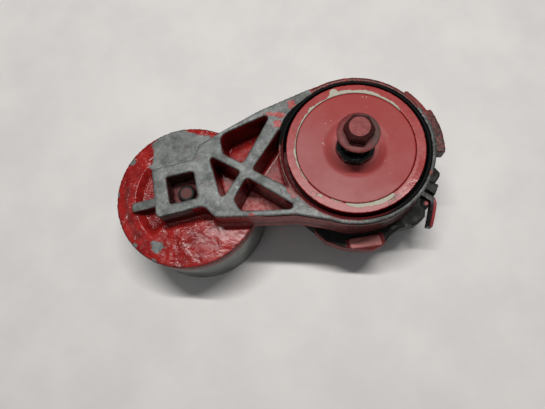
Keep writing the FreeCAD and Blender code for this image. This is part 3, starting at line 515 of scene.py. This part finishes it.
def housing_material():
    """Dark weathered casting with red overspray on what faces up and out; its near-black is soot
    and painted shade under the arm, and the block's top and knob have painted light.
    """
    shader = Shader("weathered_housing", Specular_IOR_Level=0.2)
    metal, metal_roughness, grain = bare_casting(shader)
    metal = shader.mix(0.35, metal, GREENISH_BLACK)
    # Near-black soot, which also stands for painted shade on the ear's top and hollows under the
    # arm.
    soot_and_shade = shader.mix(shader.noise(5.0, 4.0, 0.6), *HOUSING_SOOT_AND_SHADE)
    edges = shader.noise(2.0, 4.0, 0.7)
    sprayed = shader.ramp(shader.ragged(edges, 2.6, shader.field("spray")), -0.4, 0.4)
    scuffed = shader.ramp(shader.ragged(edges, 2.2, shader.field("bare")), -0.2, 0.2)
    shade = shader.noise(7.0, 4.0, 0.6)
    paint = shader.mix(shader.ramp(shade, 0.3, 0.7), *HOUSING_REDS)
    # Painted light: the block's top and the knob turn light pink as if lit.
    painted_lit = shader.mix(shade, *HOUSING_LIT_PINKS)
    paint = shader.mix(shader.ramp(shader.field("painted_light"), 0.0, 1.0), paint, painted_lit)
    colour = shader.mix(sprayed, soot_and_shade, paint)
    shader.feed("Base Color", shader.mix(scuffed, colour, metal))
    roughness = shader.ramp(shade, 0.3, 0.7, 0.36, 0.60)
    shader.feed("Roughness", shader.blend(scuffed, roughness, metal_roughness))
    shader.feed("Metallic", shader.times(scuffed, 0.3))
    shader.bump((grain, 0.14), (shader.noise(4.0, 3.0), 0.35))
    return shader.material


CONE_TOP = 98.0
BOLT_REDS = ((0.17, 0.018, 0.018), (0.27, 0.050, 0.048))
BOLT_DARKS = ((0.010, 0.004, 0.004), (0.040, 0.011, 0.009))
FLANGE_DARK_RED = (0.05, 0.008, 0.008)
FLANGE_GREY = (0.075, 0.058, 0.052)
CHAMFER_RED = (0.16, 0.022, 0.020)
BOLT_WORN = (0.075, 0.060, 0.055)


def bolt_material():
    """Steel bolt: red overspray on top, dark oiled sides."""
    shader = Shader("oversprayed_bolt", Specular_IOR_Level=0.25)
    slope = shader.axis("Z", shader.normal)
    flange = shader.ramp(shader.axis("Z"), (CONE_TOP + 0.3) * MM, (CONE_TOP - 0.3) * MM)
    flange = shader.times(flange, shader.ramp(slope, 0.3, 0.6))
    up = shader.math("MAXIMUM", flange, shader.ramp(slope, 0.90, 0.97))
    mottle = shader.noise(3.0, 4.0, 0.65)
    paint = shader.mix(shader.ramp(mottle, 0.3, 0.7), *BOLT_REDS)
    paint = shader.mix(shader.times(flange, 0.35), paint, FLANGE_DARK_RED)
    greyed = shader.times(shader.ramp(shader.axis("X"), 2.0 * MM, 10.0 * MM), flange)
    paint = shader.mix(shader.times(greyed, 0.7), paint, FLANGE_GREY)
    chamfer = shader.times(shader.ramp(slope, 0.25, 0.45), 0.12)
    dark = shader.mix(chamfer, shader.mix(mottle, *BOLT_DARKS), CHAMFER_RED)
    worn = shader.ramp(shader.noise(1.6, 4.0, 0.7), 0.60, 0.70, 0.0, 0.6)
    shader.feed("Base Color", shader.mix(worn, shader.mix(up, dark, paint), BOLT_WORN))
    shader.feed("Roughness", shader.blend(up, 0.30, 0.48))
    shader.bump((mottle, 0.06), (shader.noise(0.8, 2.0), 0.03))
    return shader.material


COLLAR_BLACKS = ((0.005, 0.008, 0.007), (0.022, 0.036, 0.032))
COLLAR_HIGHLIGHT = (0.20, 0.25, 0.24)


def black_steel_material():
    """Black oiled steel with cold, uneven gloss and pale streaks painted as highlights."""
    shader = Shader("black_steel", Metallic=0.35)
    film = shader.noise(2.5, 4.0, 0.65)
    # Painted highlights: pale noisy streaks on the black.
    worn = shader.ramp(shader.noise(4.5, 2.0, 0.5, 1.0), 0.60, 0.64, 0.0, 0.45)
    colour = shader.mix(film, *COLLAR_BLACKS)
    shader.feed("Base Color", shader.mix(worn, colour, COLLAR_HIGHLIGHT))
    shader.feed("Roughness", shader.ramp(film, 0.35, 0.7, 0.10, 0.30))
    shader.bump((film, 0.10), (shader.noise(0.7, 2.0), 0.01))
    return shader.material


RUBBER_BLACKS = ((0.004, 0.005, 0.005), (0.014, 0.012, 0.012))
RUBBER_REDS = ((0.050, 0.002, 0.003), (0.110, 0.006, 0.007))


def rubber_material():
    """Matt black rubber with deep red overspray towards -X and -Y."""
    shader = Shader("black_rubber", Specular_IOR_Level=0.15)
    dust = shader.noise(3.0, 5.0, 0.7)
    black = shader.mix(shader.ramp(dust, 0.45, 0.8), *RUBBER_BLACKS)
    red = shader.mix(dust, *RUBBER_REDS)
    towards = shader.math("MULTIPLY_ADD", shader.axis("Y"), 0.9, shader.axis("X"))
    sprayed = shader.ramp(towards, -26.0 * MM, -40.0 * MM)
    shader.feed("Base Color", shader.mix(sprayed, black, red))
    shader.feed("Roughness", shader.ramp(dust, 0.3, 0.7, 0.70, 0.90))
    shader.bump((shader.noise(0.6, 3.0), 0.05), (dust, 0.10))
    return shader.material


NYLON_CREAMS = ((0.50, 0.46, 0.36), (0.66, 0.62, 0.52))


def nylon_material():
    """Natural nylon, slightly uneven in tint."""
    shader = Shader("natural_nylon", Roughness=0.48)
    tint = shader.noise(5.0, 4.0, 0.6)
    shader.feed("Base Color", shader.mix(tint, *NYLON_CREAMS))
    shader.bump((shader.noise(0.7, 3.0), 0.04))
    return shader.material


SPRING_REDS = ((0.20, 0.014, 0.018), (0.44, 0.075, 0.080))
SPRING_STEELS = ((0.006, 0.005, 0.005), (0.022, 0.017, 0.017))
SPRING_WORN = (0.05, 0.03, 0.03)


def spring_material():
    """Spring wire: dark steel, with red overspray on the tang; keeping the red to the top of its
    outer half, with near-black sides, paints the tang's lit top and shaded side.
    """
    shader = Shader("spring_steel", Specular_IOR_Level=0.2)
    outside = shader.ramp(shader.field("spray"), -0.3, 0.7)
    up = shader.ramp(shader.axis("Z", shader.normal), 0.30, 0.75)
    mottle = shader.noise(2.5, 4.0, 0.7)
    worn = shader.ramp(mottle, 0.58, 0.66, 0.0, 0.8)
    paint = shader.mix(mottle, *SPRING_REDS)
    steel = shader.mix(mottle, *SPRING_STEELS)
    # Painted light and shade: red only on the top of the outer half, near-black on the sides.
    sprayed = shader.times(outside, shader.math("MULTIPLY_ADD", up, 0.9, 0.1))
    colour = shader.mix(sprayed, steel, paint)
    shader.feed("Base Color", shader.mix(shader.times(worn, 0.4), colour, SPRING_WORN))
    shader.feed("Roughness", shader.ramp(mottle, 0.3, 0.7, 0.24, 0.42))
    shader.bump((mottle, 0.08), (shader.noise(0.6, 2.0), 0.02))
    return shader.material


PULLEY_STEELS = ((0.13, 0.14, 0.132), (0.25, 0.265, 0.25))
PULLEY_PIT = (0.12, 0.10, 0.085)
PULLEY_BRIGHT = (0.32, 0.335, 0.32)


def pulley_material():
    """Pressed steel polished by the belt, with fine rings turned round its rim."""
    shader = Shader("pulley_steel", Metallic=0.7)
    rings = shader.noise(0.5, 3.0, 0.6, stretch=(0.02, 0.02, 1.6))
    film = shader.noise(11.0, 4.0, 0.6)
    pits = shader.ramp(shader.noise(1.6, 5.0, 0.75), 0.62, 0.74, 0.0, 0.6)
    colour = shader.mix(shader.ramp(film, 0.3, 0.7), *PULLEY_STEELS)
    colour = shader.mix(pits, colour, PULLEY_PIT)
    colour = shader.mix(shader.ramp(rings, 0.3, 0.7, 0.0, 0.25), colour, PULLEY_BRIGHT)
    shader.feed("Base Color", colour)
    shader.feed("Roughness", shader.ramp(film, 0.3, 0.7, 0.34, 0.48))
    shader.bump((rings, 0.02), (pits, 0.03))
    return shader.material


BEARING_STEELS = ((0.52, 0.53, 0.54), (0.68, 0.69, 0.70))


def bearing_material():
    """Ground bearing steel."""
    shader = Shader("bearing_steel", Metallic=1.0)
    film = shader.noise(3.0, 3.0, 0.6)
    shader.feed("Base Color", shader.mix(film, *BEARING_STEELS))
    shader.feed("Roughness", shader.ramp(film, 0.3, 0.7, 0.14, 0.26))
    shader.bump((shader.noise(0.4, 2.0), 0.005))
    return shader.material


BOLT_END_ZINCS = ((0.20, 0.21, 0.20), (0.38, 0.39, 0.38))
BOLT_END_REDS = ((0.055, 0.016, 0.014), (0.16, 0.050, 0.045))
BOLT_END_SHADE_BLACK = (0.006, 0.004, 0.004)
BOLT_END_RADII = (3.7, 4.1)
SPRAYED_FROM = (50.0, 52.0)


def oversprayed_zinc():
    """Zinc plated bolt whose end, seen in the socket, has dull red overspray and a black rim
    painted as the shade of the gap round it.
    """
    shader = Shader("oversprayed_zinc", Specular_IOR_Level=0.3)
    mottle = shader.noise(2.0, 4.0, 0.65)
    sprayed = shader.ramp(shader.axis("Z"), *(level * MM for level in SPRAYED_FROM))
    zinc = shader.mix(mottle, *BOLT_END_ZINCS)
    # Painted shade: a black rim round the bolt's end.
    shade_rim = shader.ramp(shader.away(PULLEY_X, 0.0), *BOLT_END_RADII)
    paint = shader.mix(shade_rim, shader.mix(mottle, *BOLT_END_REDS), BOLT_END_SHADE_BLACK)
    shader.feed("Base Color", shader.mix(sprayed, zinc, paint))
    shader.feed("Metallic", shader.blend(sprayed, 0.85, 0.0))
    shader.feed("Roughness", shader.blend(sprayed, 0.38, 0.62))
    shader.bump((mottle, 0.06), (shader.noise(0.5, 2.0), 0.02))
    return shader.material


ZINCS = ((0.30, 0.31, 0.30), (0.50, 0.51, 0.50))
ZINC_SPANGLE = (0.62, 0.62, 0.58)


def zinc_material():
    """Dull zinc plating."""
    shader = Shader("zinc_plate", Metallic=0.9)
    film = shader.noise(4.0, 4.0, 0.65)
    colour = shader.mix(shader.ramp(film, 0.3, 0.7), *ZINCS)
    spangle = shader.times(shader.cells(2.4), 0.3)
    shader.feed("Base Color", shader.mix(spangle, colour, ZINC_SPANGLE))
    shader.feed("Roughness", shader.ramp(film, 0.3, 0.7, 0.30, 0.45))
    shader.bump((film, 0.03), (shader.noise(0.5, 2.0), 0.01))
    return shader.material


# ---- worn arm -----------------------------------------------------------------------------

# Levels.
GUARD_TOP = 56.0
RECESS_FLOOR = 51.5
POCKET_FLOOR = 50.0
RIB_TOP = 61.0
WING_TOP = 70.5
RING_FOOT = 58.0  # the pivot ring's wall stands above it
GROOVE_LEVEL = 71.5
# Distances from the pulley's axis.
SOCKET_HALF = 9.65
GUARD_EDGE = 52.0
# Distances from the pivot.
RIM_FROM = 49.0
RING_BORE = 50.2
GAP_END = 51.2
WING_STRIPE = (53.0, 55.0)
WING_FROM = 54.5
LIP_END = 54.8
# Sectors round the pivot, in degrees.
PAINTED_RIM = (20.0, 112.0)
PAINTED_LIP = (161.0, 208.0)
RED_GAP = (163.0, 262.0)
SOOTED_RIM = (-112.0, 20.0)
WIDE_BLACK = (112.0, 200.0)
RIGHT_SIDE = (-100.0, 60.0)
# Outlines and spots on the plan: x, y and, for a spot, its radius.
DISC_PATCH = [(-141.5, 46), (-140.5, 40), (-142.5, 31), (-146, 28.5), (-143.5, 25),
              (-140, 12), (-96, 12), (-96, 38), (-97, 41.5), (-105, 44.5), (-113.5, 50),
              (-118, 54), (-126, 54), (-134, 50)]
SMALL_PATCH = [(-151.8, -26.5), (-144.2, -30), (-143.2, -33.8), (-148.6, -37), (-152, -34.5)]
TOP_REMNANTS = [[(-56.5, 40.6), (-50.5, 40.2), (-41.2, 37.2), (-39.8, 34.8), (-43.5, 33.6),
                 (-50, 36.8)],
                [(-50, 33), (-45, 32.6), (-44.6, 27.6), (-49.9, 27.4)],
                [(-37, 45.4), (-32, 45.2), (-31.5, 40.5), (-36.8, 38.6)]]
RIM_SPOTS = [(43.2, -29.2, 1.6), (48.6, 23.5, 1.8), (52.0, 13.0, 1.6), (-78, -31, 2.2)]
GUARD_SCUFFS = [(-157.5, 35.5, 2.6), (-163.5, -27.5, 1.8), (-152.0, -41.5, 2.0), (-171, 12, 1.5)]
# Opposite corners of boxes.
RIB_END = -137.5
RIB_MIDDLE = -1.5
RIB_HALF = 4.5
RIB_BOX = ((-np.inf, RIB_MIDDLE - RIB_HALF, RIB_TOP - 0.8),
           (RIB_END, RIB_MIDDLE + RIB_HALF, np.inf))
TRUSS_BOX = ((-112.0, -46.0, -np.inf), (-38.0, 46.0, np.inf))
UNDERSIDE_BOX = ((-np.inf, -np.inf, 10.0), (np.inf, np.inf, 40.0))
BOSS_SIDE_BOX = ((-139.0, -24.0, 65.0), (-117.0, -14.0, np.inf))


def groove_share(points, normal):
    """1 in the groove that runs under the top edge of the arm's lower side, 0 elsewhere."""
    x, y, z = points.T
    across = smoothstep(1.6, 1.0, np.abs(z - GROOVE_LEVEL))
    along = smoothstep(-78, -64, x) * smoothstep(30, 5, x)
    return across * along * (y < -25) * (normal[:, 1] < -0.2)


def cut_groove(points, normal):
    """Presses the groove into the casting."""
    depth = 0.3 * groove_share(points, normal)
    points -= normal * depth[:, None]


class ArmSurface:
    """Where the worn arm's vertices are and face, and what they belong to."""

    def __init__(self, piece):
        self.points = vertices(piece)
        self.normal = normals(piece)
        self.x, self.y, self.z = self.points.T
        self.from_pulley = plan_radius(self.points, PULLEY_X)
        self.from_pivot = plan_radius(self.points)
        self.up = (self.normal[:, 2] - 0.55) * 4
        self.on_guard = self.z < GUARD_TOP + 1
        self.painted_rim = all_of(self.sector(PAINTED_RIM), self.from_pivot - RIM_FROM)
        self.painted_lip = all_of(self.sector(PAINTED_LIP), LIP_END - self.from_pivot)
        self.red_gap = all_of(self.sector(RED_GAP), GAP_END - self.from_pivot)
        from_socket = np.maximum(np.abs(self.x - PULLEY_X), np.abs(self.y)) - SOCKET_HALF
        self.in_socket = smoothstep(1.2, 0.4, from_socket) * (self.z < ARM_TOP - 1)
        self.in_gap = inside(self.red_gap, 0.5) * (self.z > RING_FOOT)
        self.lower_side = smoothstep(0.2, 0.7, -self.normal[:, 1]) * (self.y < -25) * (self.z > 44)

    def sector(self, degrees):
        """Field of a sector round the pivot."""
        return angle_field(self.points, *degrees)

    def floor(self, level, half=1.0):
        """Share of what faces up near a level."""
        return inside(all_of(self.up, level_field(self.points, level, half)))


def bare_metal(arm):
    """Field of the aluminium that shows: top faces, rib, patches, edges and underside."""
    top_face = all_of(arm.z - (ARM_TOP - 0.85), -arm.painted_rim, -arm.painted_lip,
                      -arm.red_gap)
    for remnant in TOP_REMNANTS:
        top_face = all_of(top_face, -outline_field(arm.points, remnant))
    for spot in RIM_SPOTS:
        top_face = all_of(top_face, -blob(arm.points, *spot))
    guard_face = all_of(arm.z - (GUARD_TOP - 2.0), GUARD_TOP + 1.2 - arm.z, arm.up)
    patches = all_of(guard_face, any_of(outline_field(arm.points, DISC_PATCH),
                                        outline_field(arm.points, SMALL_PATCH)))
    rim_scuffs = any_of(*(blob(arm.points, *scuff) for scuff in GUARD_SCUFFS))
    rim_scuffs = all_of(rim_scuffs, arm.z - 50, GUARD_TOP + 1 - arm.z)
    wing_edge = 3 * all_of(arm.z - (WING_TOP - 1.0), WING_TOP + 0.6 - arm.z, arm.up,
                           arm.from_pivot - WING_STRIPE[0], WING_STRIPE[1] - arm.from_pivot,
                           arm.x - 30)
    boxes = (box_field(arm.points, *box) for box in (RIB_BOX, UNDERSIDE_BOX, BOSS_SIDE_BOX))
    return any_of(top_face, patches, rim_scuffs, wing_edge, *boxes)


def dust(arm):
    """Share of a pale layer: dust on floors, ledges and faded faces, and painted light on the
    lower side walls that face -Y.
    """
    in_truss = all_of(box_field(arm.points, *TRUSS_BOX), arm.from_pivot - 50) > 0
    pocket_dust = arm.floor(POCKET_FLOOR, 2.0) * in_truss
    pocket_dust *= 0.05 + 0.95 * smoothstep(14, -10, arm.y)
    faded_top = (arm.z > ARM_TOP - 1.5) * (0.65 - 0.4 * inside(arm.painted_rim))
    faded_top *= 1 - 0.5 * inside(arm.painted_lip)
    wing_top = arm.floor(WING_TOP) * (arm.x > 30)
    recess_floor = arm.floor(RECESS_FLOOR) * (arm.x < PULLEY_X)
    # Painted light: the lower side walls, which face -Y away from the lamp, are made paler as if
    # lit.
    painted_light_on_sides = arm.lower_side * (0.5 - 0.3 * smoothstep(-30, -5, arm.x))
    beside_boss = smoothstep(-132, -112, arm.x) * smoothstep(-12, -22, arm.y) * arm.on_guard
    return np.clip(pocket_dust + faded_top + painted_light_on_sides + wing_top * 0.35
                   + recess_floor * 0.12 + beside_boss * 0.12
                   + arm.in_gap * 0.9 + arm.in_socket * 0.8, 0, 1)


def painted_shade(arm):
    """Share of dark red painted shade on deep walls and in the socket, the gap and the recess,
    less of it where the lower side is lit.
    """
    wall = smoothstep(0.5, 0.2, np.abs(arm.normal[:, 2]))
    deep = smoothstep(ARM_TOP - 1, ARM_TOP - 9, arm.z)
    lit_side = arm.lower_side * smoothstep(-5, -45, arm.x)
    in_recess = (arm.z < GUARD_TOP - 1) & (arm.z > RECESS_FLOOR - 1) & (arm.from_pulley < 47)
    return np.clip(wall * deep * 0.85 * (1 - 0.7 * lit_side) + arm.in_socket * 0.8
                   + arm.in_gap * 0.6 + in_recess * 0.25, 0, 1)


def soil_and_shade(arm):
    """Share of near-black: dirt on the rims, the wing, the rib and smears on the guard; painted
    shade on the wing's end and the boss's side, which face -Y; and darker rounded top edges and
    outer edge of the guard.
    """
    x, y, z = arm.points.T
    facing_down_y = -arm.normal[:, 1]
    rounded = smoothstep(0.93, 0.75, arm.normal[:, 2]) * smoothstep(0.0, 0.3, arm.normal[:, 2])
    top_edge = rounded * (z > ARM_TOP - 2)
    on_rim = inside(arm.painted_rim) * np.where(z > ARM_TOP - 3, 0.75, 0.2 * (z > 62))
    on_lip = inside(arm.painted_lip) * (z > ARM_TOP - 3)
    right_rim = (inside(arm.sector(SOOTED_RIM), 12) * (arm.from_pivot > RIM_FROM)
                 * (z > RING_FOOT + 2))
    on_wing = (smoothstep(WING_FROM, WING_FROM + 1.5, arm.from_pivot)
               * (x > 20) * (y > -25) * (z > 62))
    # Painted shade: the wing's end and the boss's side face -Y, away from the lamp, and are
    # darkened.
    wing_end_shade = smoothstep(0.3, 0.7, facing_down_y) * (x > 50) * (z > RING_FOOT)
    boss_side_shade = smoothstep(0.5, 0.8, facing_down_y) * (x > -140) * (x < -117) * (z > RING_FOOT)
    on_rib = (smoothstep(RIB_END, RIB_END - 1, x) * (np.abs(y - RIB_MIDDLE) < RIB_HALF)
              * (z > RIB_TOP - 1))
    guard_edge = (smoothstep(GUARD_EDGE - 1, GUARD_EDGE, arm.from_pulley)
                  * (z > GUARD_TOP - 4) * arm.on_guard)
    smears = all_of(arm.from_pulley - 42, 48.5 - arm.from_pulley, -150 - x, 22 - np.abs(y + 3))
    return np.clip(top_edge * 0.8 + on_rim + on_lip * 0.55 + right_rim * 0.60
                   + on_wing * 0.42 + wing_end_shade * 0.9 + boss_side_shade * 0.6 + on_rib * 0.35
                   + guard_edge * 0.75 + inside(smears, 3) * arm.on_guard * 0.45, 0, 1)


def painted_black_shade(arm):
    """Share of black painted shade in the groove under the lower side's top edge and in the gap
    round the pivot ring's bore, wider on the right and over the upper left.
    """
    widened = 3.2 * inside(arm.sector(WIDE_BLACK), 34) * (arm.x > -60)
    black_to = RING_BORE + 0.9 * inside(arm.sector(RIGHT_SIDE), 20) + widened
    bore_edge = smoothstep(0.25, -0.25, arm.from_pivot - black_to) * (arm.z > RING_FOOT)
    bore_edge *= smoothstep(5, -3, arm.sector(RED_GAP))
    return np.maximum(groove_share(arm.points, arm.normal), bore_edge)


def worn_arm():
    """The casting with rounded edges, bare top faces and patches of lost paint."""
    piece, body = soft_copy("tension_arm", 0.8, 3, cut_groove)
    arm = ArmSurface(piece)
    flat_guard = smoothstep(0.7, 0.95, arm.normal[:, 2]) * arm.on_guard * (arm.z > 50.5)
    store(piece, "bare", bare_metal(arm))
    store(piece, "dust", dust(arm))
    store(piece, "painted_shade", painted_shade(arm))
    store(piece, "soil_and_shade", soil_and_shade(arm))
    store(piece, "groove_and_gap_shade", painted_black_shade(arm))
    store(piece, "wrinkle", flat_guard * smoothstep(54, 52, arm.from_pulley))
    store(piece, "speckle", flat_guard * smoothstep(GUARD_TOP - 2, GUARD_TOP - 4, arm.z))
    piece.data.materials.append(cast_arm_material())
    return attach(piece, body)


# ---- other worn pieces --------------------------------------------------------------------

RING_INNER = 40.1
RING_CHIPS = [  # first degrees, last degrees, widest millimetres
    (91, 100, 5.8), (72, 104, 2.7), (48, 80, 2.6), (26, 52, 1.5), (98, 152, 1.0),
    (118, 128, 1.9), (150, 168, 0.6), (166, 178, 1.6), (177, 190, 1.3), (188, 206, 0.8),
    (232, 244, 0.8), (246, 272, 2.6), (262, 290, 3.1), (284, 292, 3.6)]
RING_MARKS = [(-35.1, -26.4, 2.0), (17.4, -41.6, 2.1)]  # x, y, radius
SPLIT_FLAP = [(9.8, -44.8), (10.6, -42.2), (17.0, -38.9), (14.0, -42.4)]
RING_FLAKE = [(-33.8, -26.6), (-30.2, -27.4), (-29.4, -30.6)]
POLISHED_SECTOR = (-70.0, -15.0)
RING_ROUGHNESS = 0.32
POLISHED_BY = 0.16
FAR_OUTSIDE = -9.0


def ring_chips(points):
    """Field of the lens-shaped chips along the ring's inner edge, and of one loose flake."""
    angle = np.degrees(np.arctan2(points[:, 1], points[:, 0])) % 360
    radius = plan_radius(points)
    chips = outline_field(points, RING_FLAKE)
    for first, last, width in RING_CHIPS:
        along = np.clip((angle - first) / (last - first), 0, 1)
        reach = width * np.maximum(np.sin(np.pi * along), 0) ** 0.35
        chip = np.where((along > 0) & (along < 1), RING_INNER + reach - radius, FAR_OUTSIDE)
        chips = any_of(chips, chip)
    return all_of(chips, points[:, 2] - 73.5)


def worn_friction_ring():
    """The ring round the plate, with paint chipped off along its inner edge."""
    piece, body = soft_copy("friction_ring", 0.45, 2)
    points = vertices(piece)
    polished = inside(angle_field(points, *POLISHED_SECTOR), 16)
    polished *= smoothstep(41, 43, plan_radius(points))
    circles = (-np.abs(blob(points, *mark)) for mark in RING_MARKS)
    flap = -np.abs(outline_field(points, SPLIT_FLAP))
    store(piece, "bare", ring_chips(points))
    store(piece, "gloss", RING_ROUGHNESS - POLISHED_BY * polished)
    store(piece, "lines", all_of(any_of(*circles, flap), points[:, 2] - RING_SIDE_TOP))
    piece.data.materials.append(friction_ring_material())
    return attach(piece, body)


EAR_TOP = 42.0
EAR_SCUFFS = [(25.5, -54.0, 1.3), (28.0, -54.4, 0.9), (15.5, -53.2, 1.2), (18.0, -52.6, 0.8)]
KNOB = (43.3, -41.6, 1.7)
BLOCK_SIDE_BOX = ((-19.0, -np.inf, 39.0), (8.0, -54.6, np.inf))
LIP_BOX = ((-np.inf, -np.inf, 24.0), (8.0, -42.0, 43.0))
MACHINED_FACE = 0.35


def worn_housing():
    """The cast housing: sooty, with painted shade under the arm, red overspray, painted light on
    the block's top and knob, and scuffs on its ear.
    """
    piece, body = soft_copy("spring_housing", 0.8, 3)
    points, normal = vertices(piece), normals(piece)
    _, y, z = points.T
    block = all_of(z - (EAR_TOP + 0.8), (normal[:, 2] - 0.25) * 4, -50 - y)
    lip = all_of(box_field(points, *LIP_BOX), (0.75 - normal[:, 2]) * 4)
    knob = all_of(blob(points, *KNOB), z - (EAR_TOP - 4))
    scuffs = any_of(*(blob(points, *scuff) for scuff in EAR_SCUFFS))
    scuffs = all_of(scuffs, z - (EAR_TOP - 3))
    # Red overspray on the block, lip and knob, with painted light on the block's top and knob; the
    # rest of the ear stays near-black as painted shade.
    store(piece, "spray", any_of(block, box_field(points, *BLOCK_SIDE_BOX), lip, knob))
    store(piece, "painted_light", np.clip(any_of(block, knob), 0, 1))
    store(piece, "bare", any_of(scuffs, MACHINED_FACE - z))
    piece.data.materials.append(housing_material())
    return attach(piece, body)


TANG_CORNER = np.array((49.0, -40.5))
TANG_END = np.array((42.2, -57.3))
TANG_FROM = 52.0  # the tang is further than this from the pivot
TANG_DROOP = 7.0


def along_tang(points):
    """Distances past the tang's corner and outwards from the middle of its wire."""
    reach = TANG_END - TANG_CORNER
    run = reach / np.linalg.norm(reach)
    offset = points[:, :2] - TANG_CORNER
    return offset @ run, offset @ np.array((-run[1], run[0]))


def droop(points, normal):
    """Bends the spring's tang down towards its free end."""
    along, _ = along_tang(points)
    along = np.clip(along, 0, None) * (plan_radius(points) > TANG_FROM)
    points[:, 2] -= TANG_DROOP * (along / 18.0) ** 2


def drooping_spring():
    """The torsion spring, whose tang hangs down a little."""
    piece, _ = soft_copy("torsion_spring", 0.55, 2, droop)
    points = vertices(piece)
    along, outwards = along_tang(points)
    store(piece, "spray", all_of(outwards, along + 3.0, plan_radius(points) - 58))
    piece.data.materials.append(spring_material())
    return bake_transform(piece)


DISH = (14.5, 18.5, 2.0)  # foot radius, brim radius, depth


def soften_dish(points, normal):
    """Turns the plate's straight cone into a smooth slope."""
    foot, brim, depth = DISH
    radius = plan_radius(points)
    cone = np.clip((brim - radius) / (brim - foot), 0, 1)
    slope = smoothstep(brim + 4.5, foot - 0.5, radius)
    points[:, 2] += depth * (cone - slope)


def dished_plate():
    """The pressed front plate with a soft-edged dish round the bolt."""
    piece, body = soft_copy("front_plate", 0.5, 3, soften_dish)
    piece.data.materials.append(plate_material())
    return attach(piece, body)


# ---- CAD pieces that keep their shape ------------------------------------------------------

WORN_COPIES = ("tension_arm", "friction_ring", "spring_housing", "torsion_spring",
               "front_plate")
MAKERS = {
    "black_steel": black_steel_material, "bolt_paint": bolt_material,
    "seal_rubber": rubber_material, "nylon": nylon_material,
    "spring_steel": spring_material, "pulley_steel": pulley_material,
    "bearing_steel": bearing_material, "zinc_steel": zinc_material,
    "pulley_bolt": oversprayed_zinc}


def material_key(name):
    """Which of the makers a CAD node takes: its own, or that of the record's material slot."""
    return name if name in MAKERS else frame["nodes"][name].data.materials[0].name.split(".")[0]


def finish_cad_nodes():
    """Gives each remaining CAD piece its material and slightly broken edges."""
    made = {}
    for name, node in frame["nodes"].items():
        if name in WORN_COPIES:
            continue
        key = material_key(name)
        if key not in made:
            made[key] = MAKERS[key]()
        node.data.materials.clear()
        node.data.materials.append(made[key])
        weld = node.modifiers.new("weld", "WELD")
        weld.merge_threshold = 0.002 * MM
        bevel = node.modifiers.new("broken_edges", "BEVEL")
        bevel.width = 0.35 * MM
        bevel.segments = 2
        bevel.limit_method = "ANGLE"
        bevel.angle_limit = math.radians(32)
        bevel.harden_normals = True


# ---- stage -------------------------------------------------------------------------------------

FLOOR_HALF = 1.6  # metres
FLOOR_GREYS = ((0.655, 0.64, 0.63), (0.73, 0.715, 0.70))
WORLD_COLOUR = (0.93, 0.97, 1.0, 1)
WORLD_STRENGTH = 0.14
LAMP_COLOUR = (1.0, 0.975, 0.95)
LAMPS = [  # name, place and size in metres, degrees about Z, watts
    ("key", (0.06, 0.335, 1.5), (1.0, 0.06), -16.0, 20.0),
    ("fill", (-0.5, -0.35, 1.5), (0.35, 0.35), 0.0, 1.0)]
CAMERA_PLACE = (-57.4, -115.5, 365.2)
CAMERA_TARGET = (-64.3, -3.7, 0.0)
CAMERA_ROLL = -16.33
LENS = 30.5
SENSOR = 36


def make_floor():
    """A pale sheet under the object."""
    low = cad_box[0][2]
    mesh = bpy.data.meshes.new("floor")
    corners = [(x * FLOOR_HALF, y * FLOOR_HALF, low)
               for x, y in ((-1, -1), (1, -1), (1, 1), (-1, 1))]
    mesh.from_pydata(corners, [], [(0, 1, 2, 3)])
    floor = link(bpy.data.objects.new("floor", mesh))
    shader = Shader("pale_sheet", Roughness=0.5)
    tint = shader.ramp(shader.noise(70.0, 5.0, 0.6), 0.3, 0.7)
    shader.feed("Base Color", shader.mix(tint, *FLOOR_GREYS))
    floor.data.materials.append(shader.material)


def make_light():
    """A long tube light above the far side, a weak lamp and soft light all round."""
    world = bpy.data.worlds.new("studio")
    world.use_nodes = True
    background = world.node_tree.nodes["Background"]
    background.inputs["Color"].default_value = WORLD_COLOUR
    background.inputs["Strength"].default_value = WORLD_STRENGTH
    bpy.context.scene.world = world
    for name, place, size, turn, power in LAMPS:
        lamp = bpy.data.lights.new(name, "AREA")
        lamp.shape = "RECTANGLE"
        lamp.size, lamp.size_y = size
        lamp.energy = power
        lamp.color = LAMP_COLOUR
        light = link(bpy.data.objects.new(name, lamp))
        light.location = place
        light.rotation_euler.z = math.radians(turn)


def place_camera():
    """A wide lens close above the object, rolled a little."""
    camera = bpy.data.cameras.new("camera")
    camera.lens = LENS
    camera.sensor_width = SENSOR
    camera.clip_start = 0.01
    place = Vector(CAMERA_PLACE) * MM
    target = Vector(CAMERA_TARGET) * MM
    aim = (target - place).to_track_quat("-Z", "Y").to_matrix()
    roll = Matrix.Rotation(math.radians(CAMERA_ROLL), 3, "Z")
    view = link(bpy.data.objects.new("camera", camera))
    view.matrix_world = Matrix.Translation(place) @ (aim @ roll).to_4x4()
    bpy.context.scene.camera = view


bpy.context.scene.view_settings.view_transform = "Standard"
place_camera()
make_floor()
make_light()
worn_arm()
worn_friction_ring()
worn_housing()
drooping_spring()
dished_plate()
finish_cad_nodes()
